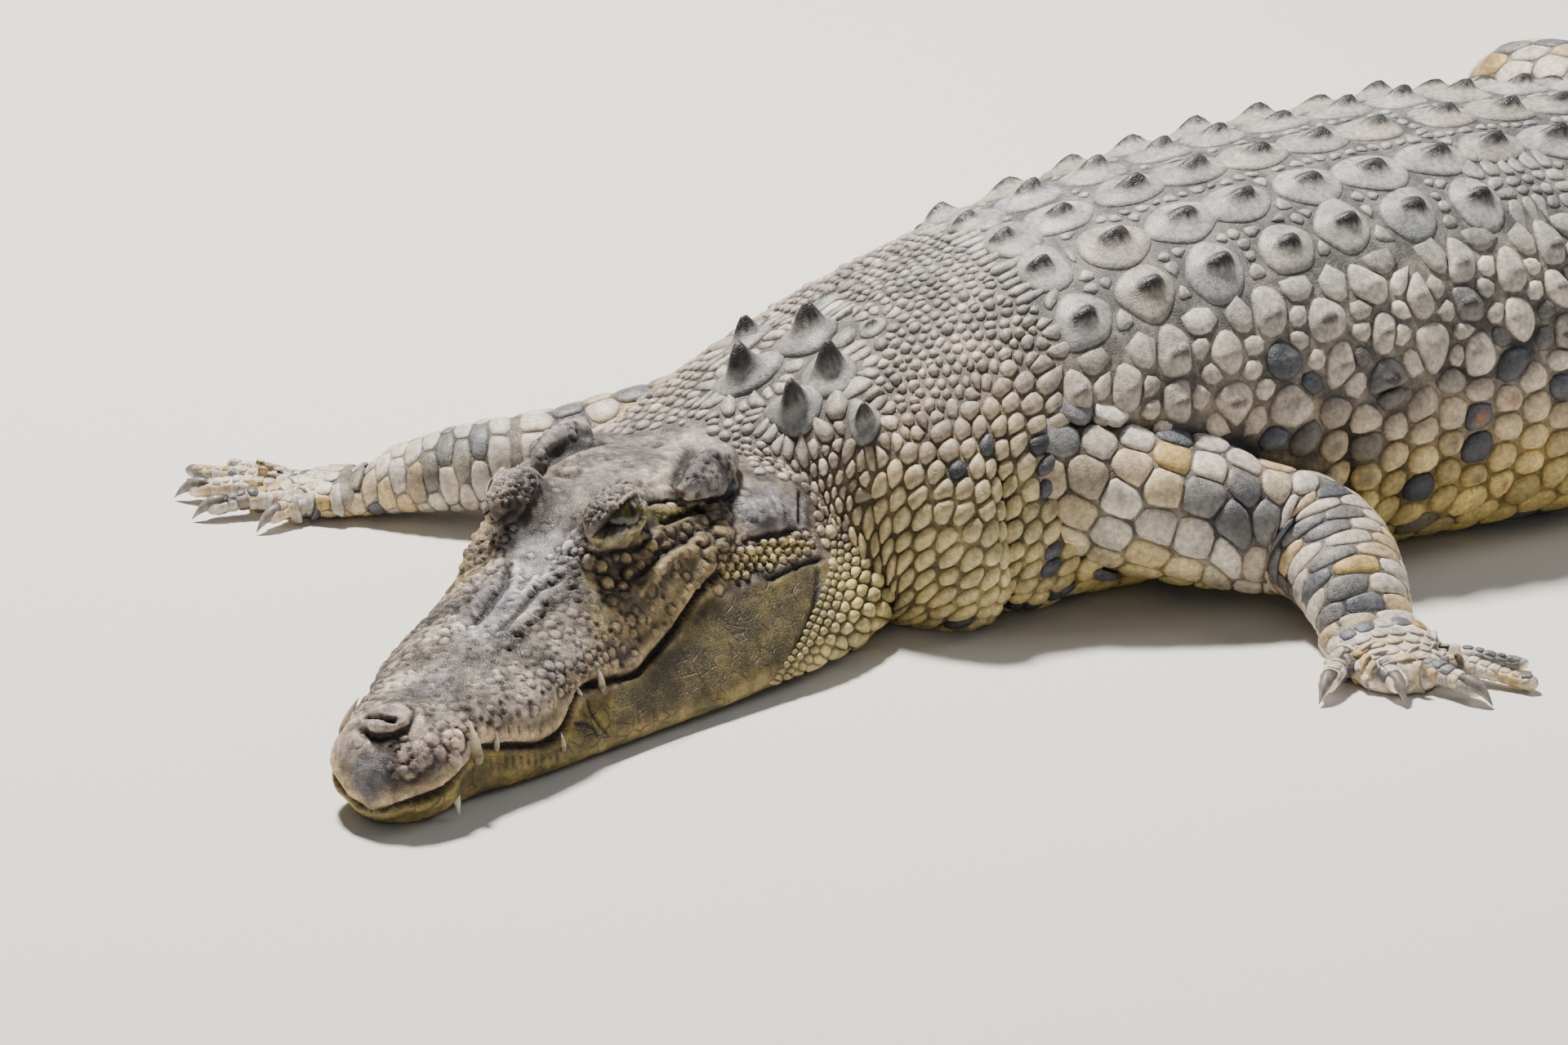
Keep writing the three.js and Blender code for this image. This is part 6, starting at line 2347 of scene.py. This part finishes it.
@dataclass
class LimbCoat:
    """Lays the scales of an arm or leg: large tiles, bands below the joint, small ones on the digits."""

    limb: Limb
    markings: Markings
    rng: np.random.Generator = field(default_factory=lambda: np.random.default_rng(SEED + 7))

    JOINT = {"arm": 0.63, "leg": 0.56}  # the share of the length at which elbow or knee lies
    # where the rows begin, their pitch, and the tiles: width, fewest on a side, aspect, lag
    PALM_ROWS = (0.024, 0.0098, (0.0150, 6, 1.5, 0.5))
    DIGIT_ROWS = (0.004, 0.0088, (0.0180, 2, 1.7, 0.0))

    def stretch(
        self, sheet: Sheet, rows: Array, step: float, least: int, aspect: float = 1.0, lag: float = 0.5
    ) -> Layout:
        """Rows of tiles round a sheet.

        Args:
            sheet: the sheet.
            rows: where the rows lie along it.
            step: the width of a tile.
            least: the fewest tiles on either side.
            aspect: how many times wider than long the tiles are.
            lag: how far every second row is set aside, as a share of a tile.

        Returns:
            The tiles.
        """
        u, v = [], []
        for number, at in enumerate(rows):
            wide = float(sheet.half(at))
            count = max(least, int(round(wide / step)))
            share = (np.arange(-count, count) + lag * (number % 2) + self.rng.uniform(-0.1, 0.1)) / count
            u.append(np.full(len(share), at))
            v.append(share * wide)
        pitch = float(np.mean(np.diff(rows)))
        u, v = np.concatenate(u), np.concatenate(v)
        u = u + self.rng.normal(0, 0.05, len(u)) * pitch
        v = v + self.rng.normal(0, 0.07, len(v)) * step
        tint = self.markings.limb(v, sheet.point(u, v)) * self.rng.lognormal(0, 0.09, len(u))[:, None]
        odd = self.rng.random(len(u))
        tint = np.where((odd < 0.07)[:, None], np.array([0.12, 0.13, 0.15]), tint)
        tint = np.where((odd > 0.95)[:, None], np.array([0.50, 0.36, 0.13]), tint)
        spot = np.where(self.rng.random(len(u)) < 0.2, 0.5, 0.0)
        height = np.clip(0.16 * min(pitch, step), 0.0012, 0.0036)
        return Layout.of(Shape.TILE, u, v, height, tint, weight=self.rng.uniform(0.9, 1.12, len(u)),
                         stain=np.array([0.16, 0.12, 0.08]), spot=spot, aspect=aspect)

    def build(self, material: bpy.types.Material, skin: BVHTree) -> None:
        """Makes the coats of limb, palm and digits."""
        sheet = self.limb.sheet
        kind = self.limb.name.split("_")[0]
        joint = self.JOINT[kind] * sheet.u[-1]
        band = 0.0135 if kind == "arm" else 0.0175
        upper = self.stretch(sheet, np.arange(0.02, joint, 0.0290), step=0.0300, least=5)
        rows = np.arange(joint + 0.006, sheet.u[-1] - 0.002, band)
        lower = self.stretch(sheet, rows, step=0.0400, least=3, aspect=2.9)
        coat = Coat("coat_" + self.limb.name, sheet, [upper, lower], gap=0.0006, far=0.030, slot="limb",
                    most=0.0085)
        coat.build(material, skin, everywhere)
        for number, tube in enumerate(self.limb.tubes()):
            first, pitch, tiles = self.DIGIT_ROWS if number else self.PALM_ROWS
            layout = self.stretch(tube, np.arange(first, tube.u[-1] - 0.003, pitch), *tiles)
            name = f"coat_{self.limb.name}_{'digit_' + str(number) if number else 'palm'}"
            coat = Coat(name, tube, [layout], gap=0.0005, far=0.013, slot="limb", reach=0.014, most=0.006)
            coat.build(material, skin, everywhere)


# ---------- eyes, teeth and claws ----------
@dataclass
class Eyeball:
    """An eyeball with an olive iris and a narrow upright pupil."""

    centre: Array
    side: int
    name: str
    radius: float = EYE_RADIUS
    iris: float = 0.0122
    pupil: float = 0.0016

    # the olive iris, darkened to stand for the lids' shade over it: partly painted shade
    INNER = np.array([0.052, 0.054, 0.010])
    OUTER = np.array([0.024, 0.026, 0.008])
    RIM = np.array([0.030, 0.022, 0.014])

    def build(self, material: bpy.types.Material) -> bpy.types.Object:
        """Makes the eyeball in place of the plain one."""
        flesh = ball(self.centre, np.diag([self.radius] * 3), 96)
        out = unit(flesh.points - self.centre)
        gaze = unit(0.42 * HEAD_AHEAD + self.side * 0.80 * HEAD_LEFT + 0.42 * UP)
        upright = unit(UP - gaze * (UP @ gaze))
        aside = np.cross(upright, gaze)
        across, above = out @ aside * self.radius, out @ upright * self.radius
        front = out @ gaze > 0.2
        from_middle = np.hypot(across, above)
        ray = 0.5 + 0.5 * np.sin(np.arctan2(above, across) * 46 + 3 * np.sin(from_middle * 900))
        inner = self.INNER * (0.75 + 0.35 * ray[:, None])
        iris = blend(inner, self.OUTER, ease(from_middle, 0.35 * self.iris, self.iris))
        tint = blend(iris, self.RIM, ease(from_middle, self.iris * 0.93, self.iris * 1.04))
        slit = np.abs(across) - self.pupil * np.sqrt(np.clip(1 - (above / (0.88 * self.iris)) ** 2, 0, 1))
        black = (1 - ease(slit, 0.0, 0.0007)) * (np.abs(above) < 0.88 * self.iris)
        dark = np.where(front, black, 1.0)
        points = flesh.points + out * (0.0012 * ease(self.iris - from_middle, 0, 0.006) * front)[:, None]
        mesh = mesh_from(self.name, Flesh(points, flesh.faces))
        paint(mesh, tint, dark)
        piece = place(self.name, mesh, material)
        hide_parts("eye_left" if self.side > 0 else "eye_right")
        return piece


@dataclass
class Horn:
    """A curved cone, for a claw or a tooth."""

    root: Array
    tip: Array
    radius: float
    bend: Array
    flatness: float = 1.0

    def flesh(self) -> Flesh:
        """The cone as a closed mesh."""
        share = np.linspace(0, 1, 12)
        bow = 4 * share * (1 - share)
        path = self.root + (self.tip - self.root) * share[:, None] + self.bend * bow[:, None]
        widths = self.radius * np.clip(1 - share**1.9, 0.03, 1) * np.where(share < 0.08, 0.9, 1.0)
        return swept(path, widths, self.flatness, 18)


def share_along(points: Array, start: Array, end: Array) -> Array:
    """How far points lie on the way from the start to the end, from 0 to 1."""
    run = end - start
    return np.clip((points - start) @ run / (run @ run), 0, 1)


@dataclass
class Claws:
    """The claws of every hand and foot."""

    limbs: list[Limb]

    HORN = ((0, (0.10, 0.085, 0.07)), (0.5, (0.17, 0.155, 0.14)), (1, (0.33, 0.30, 0.26)))

    def build(self, material: bpy.types.Material) -> None:
        """Makes each claw in place of the plain one."""
        for limb in self.limbs:
            for digit in limb.digits:
                if not digit.claw:
                    continue
                root, tip = digit.ends()
                way = unit(tip - root)
                base = np.array([*(tip - way * (CLAW_LENGTH + 0.006)), digit.thick * 1.25])
                end = np.array([*(tip - way * 0.0015), 0.0022])
                flesh = Horn(base, end, digit.thick * 0.74, np.array([0, 0, 0.0070]), 1.05).flesh()
                on_ground(flesh.points, LOWEST_FLESH)
                mesh = mesh_from(digit.claw + "_horn", flesh)
                share = share_along(flesh.points, base, end)
                streak = 0.5 + 0.5 * np.sin(np.arctan2(*(flesh.points - base)[:, :2].T) * 9 + 20 * share)
                tint = along_stops(share, self.HORN)
                # darkness at the root: painted shade where the claw meets the digit
                paint(mesh, tint * (0.8 + 0.35 * streak[:, None]), 0.75 * (1 - ease(share, 0.08, 0.24)))
                piece = place(digit.claw + "_horn", mesh, material)
                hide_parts(digit.claw)


@dataclass
class Teeth:
    """The teeth that show outside the closed lips."""

    view: Viewpoint
    tree: BVHTree

    # the tooth's root and tip in the frame, and its half width
    SHOWN = (
        ((583, 921), (573, 880), 0.0042), ((553, 962), (562.5, 1000), 0.0042),
        ((736, 838), (730, 814), 0.0030), ((711, 856), (705, 838), 0.0027),
        ((607.5, 913), (607, 894), 0.0022), ((689, 914), (687, 896), 0.0022),
    )
    # brown at the root: partly painted shade under the lip
    IVORY = ((0, (0.30, 0.22, 0.10)), (0.4, (0.62, 0.55, 0.38)), (1, (0.78, 0.75, 0.66)))

    def build(self, material: bpy.types.Material) -> bpy.types.Object:
        """Makes the teeth of both sides as one piece."""
        right, up, _ = self.view.axes()
        parts, share_of = [], []
        for root, tip, radius in self.SHOWN:
            middle = ((root[0] + tip[0]) / 2, (root[1] + tip[1]) / 2)
            at = self.view.cast(*middle, self.tree)
            if at is None:
                continue
            away = np.linalg.norm(at - np.array(self.view.position))
            scale = away / self.view.focal
            ray = unit(at - np.array(self.view.position))
            ends = []
            for x, y in (root, tip):
                step = right * (x - middle[0]) * scale - up * (y - middle[1]) * scale
                ends.append(at + step - ray * radius * 0.25)
            grow = ends[0] + (ends[0] - ends[1]) * 0.25 + ray * 0.001
            for side in (1, -1):
                pair = [grow, ends[1]]
                if side < 0:
                    pair = list(flipped(np.array(pair)))
                parts.append(Horn(*pair, radius, HEAD_LEFT * side * radius * 0.35).flesh())
                share_of.append(share_along(parts[-1].points, *pair))
        teeth = joined(parts)
        on_ground(teeth.points, LOWEST_FLESH)
        mesh = mesh_from("teeth", teeth)
        share = np.concatenate(share_of)
        # darker towards the root: painted shade where the tooth meets the lip
        paint(mesh, along_stops(share, self.IVORY), 0.5 * (1 - ease(share, 0.05, 0.3)))
        return place("teeth", mesh, material)


@dataclass(frozen=True)
class Gloss:
    """Eyeball, tooth or horn, coloured by the mesh's own markings.

    Attributes:
        name: the material's name.
        roughness: how dull it is.
        coat: strength of the clear wet layer.
        grain: size of its fine streaks, as a noise scale.
        bump: depth of its fine relief, in metres.
    """

    name: str
    roughness: float
    coat: float = 0.0
    grain: float = 400.0
    bump: float = 0.0002

    def material(self) -> bpy.types.Material:
        """The finished material."""
        material, nodes = Nodes.material(self.name)
        tint = nodes.attribute("Tint").outputs["Color"]
        dark = nodes.attribute("Dark").outputs["Fac"]
        noise_value = nodes.grain(self.grain, 5.0, 0.65)
        shade = nodes.mix(nodes.ramp(noise_value, 0.35, 0.65), (0.8, 0.79, 0.77, 1), (1.16, 1.15, 1.13, 1))
        colour = nodes.mix(1.0, tint, shade, "MULTIPLY")
        # Dark: the pupils' own black, and painted shade at the roots of teeth and claws
        colour = nodes.mix(nodes.math("MULTIPLY", dark, 0.95), colour, (0.008, 0.006, 0.005, 1))
        relief = nodes.add("Bump", {"Height": noise_value, "Distance": self.bump, "Strength": 1.0})
        shader = nodes.add("BsdfPrincipled", {
            "Base Color": colour, "Roughness": self.roughness, "Normal": relief.outputs["Normal"], "IOR": 1.5,
            "Coat Weight": self.coat, "Coat Roughness": 0.04,
        })
        nodes.add("OutputMaterial", {"Surface": shader.outputs[0]}).is_active_output = True
        return material


# ---------- the whole skin ----------
@dataclass
class Skin:
    """One skin round head, body and limbs, with its markings."""

    form: HeadForm
    body: Sheet
    limbs: list[Limb]
    markings: Markings

    def build(self) -> Flesh:
        """Makes the skin, which stands for every solid of flesh, and returns its mesh."""
        clay = self.form.build()
        start = self.form.meet - 0.035
        trunk = self.body.solid(start, self.body.u[-1], 150, 0.009, (0.03, 0.0))
        whole = united(trunk, [clay.flesh, *(limb.flesh() for limb in self.limbs)])
        on_ground(whole.points, LOWEST_FLESH)
        mesh = mesh_from("skin", whole)
        dark = self.spread(clay, whole.points)
        tint, tiles = self.markings.skin(whole.points)
        # painted shade in hollows and painted highlight on crests, from the skin's own curvature
        hollow = ((whole.averaged(whole.points, 9) - whole.points) * whole.normals()).sum(axis=1)
        tint = tint * (1 - 0.72 * np.clip(hollow / 0.0005, -0.95, 1.0))[:, None]
        dark = np.maximum(dark, 0.75 * ease(hollow, 0.00022, 0.0009))
        paint(mesh, tint, dark)
        layer = mesh.attributes.new("Tiles", "FLOAT", "POINT")
        layer.data.foreach_set("value", tiles.astype(np.float32))
        skin = place("skin", mesh, Hide("skin_hide").material())
        of_limbs = [node for limb in self.limbs for node in limb.nodes]
        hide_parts(*FLESH_OF_HEAD, *FLESH_OF_BODY, *of_limbs)
        log.info("skin: %d points", len(whole.points))
        return whole

    @staticmethod
    def spread(clay: Clay, points: Array) -> Array:
        """The painted shade worked out on the clay, carried over to the joined skin."""
        dark = np.zeros(len(points))
        tree = search_tree(clay.flesh.points)
        low = clay.flesh.points.min(axis=0) - 0.002
        high = clay.flesh.points.max(axis=0) + 0.002
        for i in np.flatnonzero(np.all((points > low) & (points < high), axis=1)):
            _, index, distance = tree.find(points[i])
            if distance < 0.001:
                dark[i] = clay.dark[index]
        return dark


def main() -> None:
    """Builds the crocodile and its studio, and reports each piece."""
    logging.basicConfig(level=logging.INFO)
    view = Viewpoint()
    view.build()
    Studio().build()
    body, arms_and_legs = body_sheet(), limbs()
    form = HeadForm(head_sheet(), body, view)
    markings = Markings(body, arms_and_legs, view)
    whole = Skin(form, body, arms_and_legs, markings).build()
    skin = tree_from(whole)
    scales = Hide("scale_hide", roughness=(0.27, 0.55), creases=0.35, bump=0.0004, contrast=0.22).material()

    collar = Collar(view, skin)
    collar.build(scales)

    def off_head(points: Array) -> Array:
        """Scales stay where the head has ended and the collar's beads don't stand."""
        return (markings.headness(points) < 0.4) & ~collar.covers(points)

    coat = BodyCoat(body, markings)
    stretches = (  # name, scales, gap, far, slot, where they stay
        ("nape", coat.nape() + coat.neck_sides(), 0.0005, 0.036, "hide", off_head),
        ("back", coat.back(), 0.0006, 0.036, "hide", everywhere),
        ("flanks", coat.flanks(), 0.0006, 0.030, "hide", everywhere),
        ("belly", coat.belly(), 0.0007, 0.026, "underside", off_head),
        ("tail", coat.tail(), 0.0007, 0.030, "tail", everywhere),
    )
    for name, layouts, gap, far, slot, stay in stretches:
        beside = [layout for other in stretches if other[0] != name for layout in other[1]]
        Coat("coat_" + name, body, layouts, gap, far, slot, beside).build(scales, skin, stay)
    Crest(body).build(scales)
    for limb in arms_and_legs:
        LimbCoat(limb, markings).build(scales, skin)
    wet = Gloss("wet_eye", roughness=0.22, coat=0.25, grain=900.0, bump=0.00003).material()
    for side, name in ((1, "eyeball_left"), (-1, "eyeball_right")):
        Eyeball(form.eye_centre(side), side, name).build(wet)
    enamel = Gloss("tooth_enamel", roughness=0.3, coat=0.3, grain=300.0, bump=0.0001).material()
    Teeth(view, skin).build(enamel)
    horn = Gloss("claw_horn", roughness=0.5, coat=0.1, grain=500.0, bump=0.0003).material()
    Claws(arms_and_legs).build(horn)


if __name__ == "__main__":
    main()
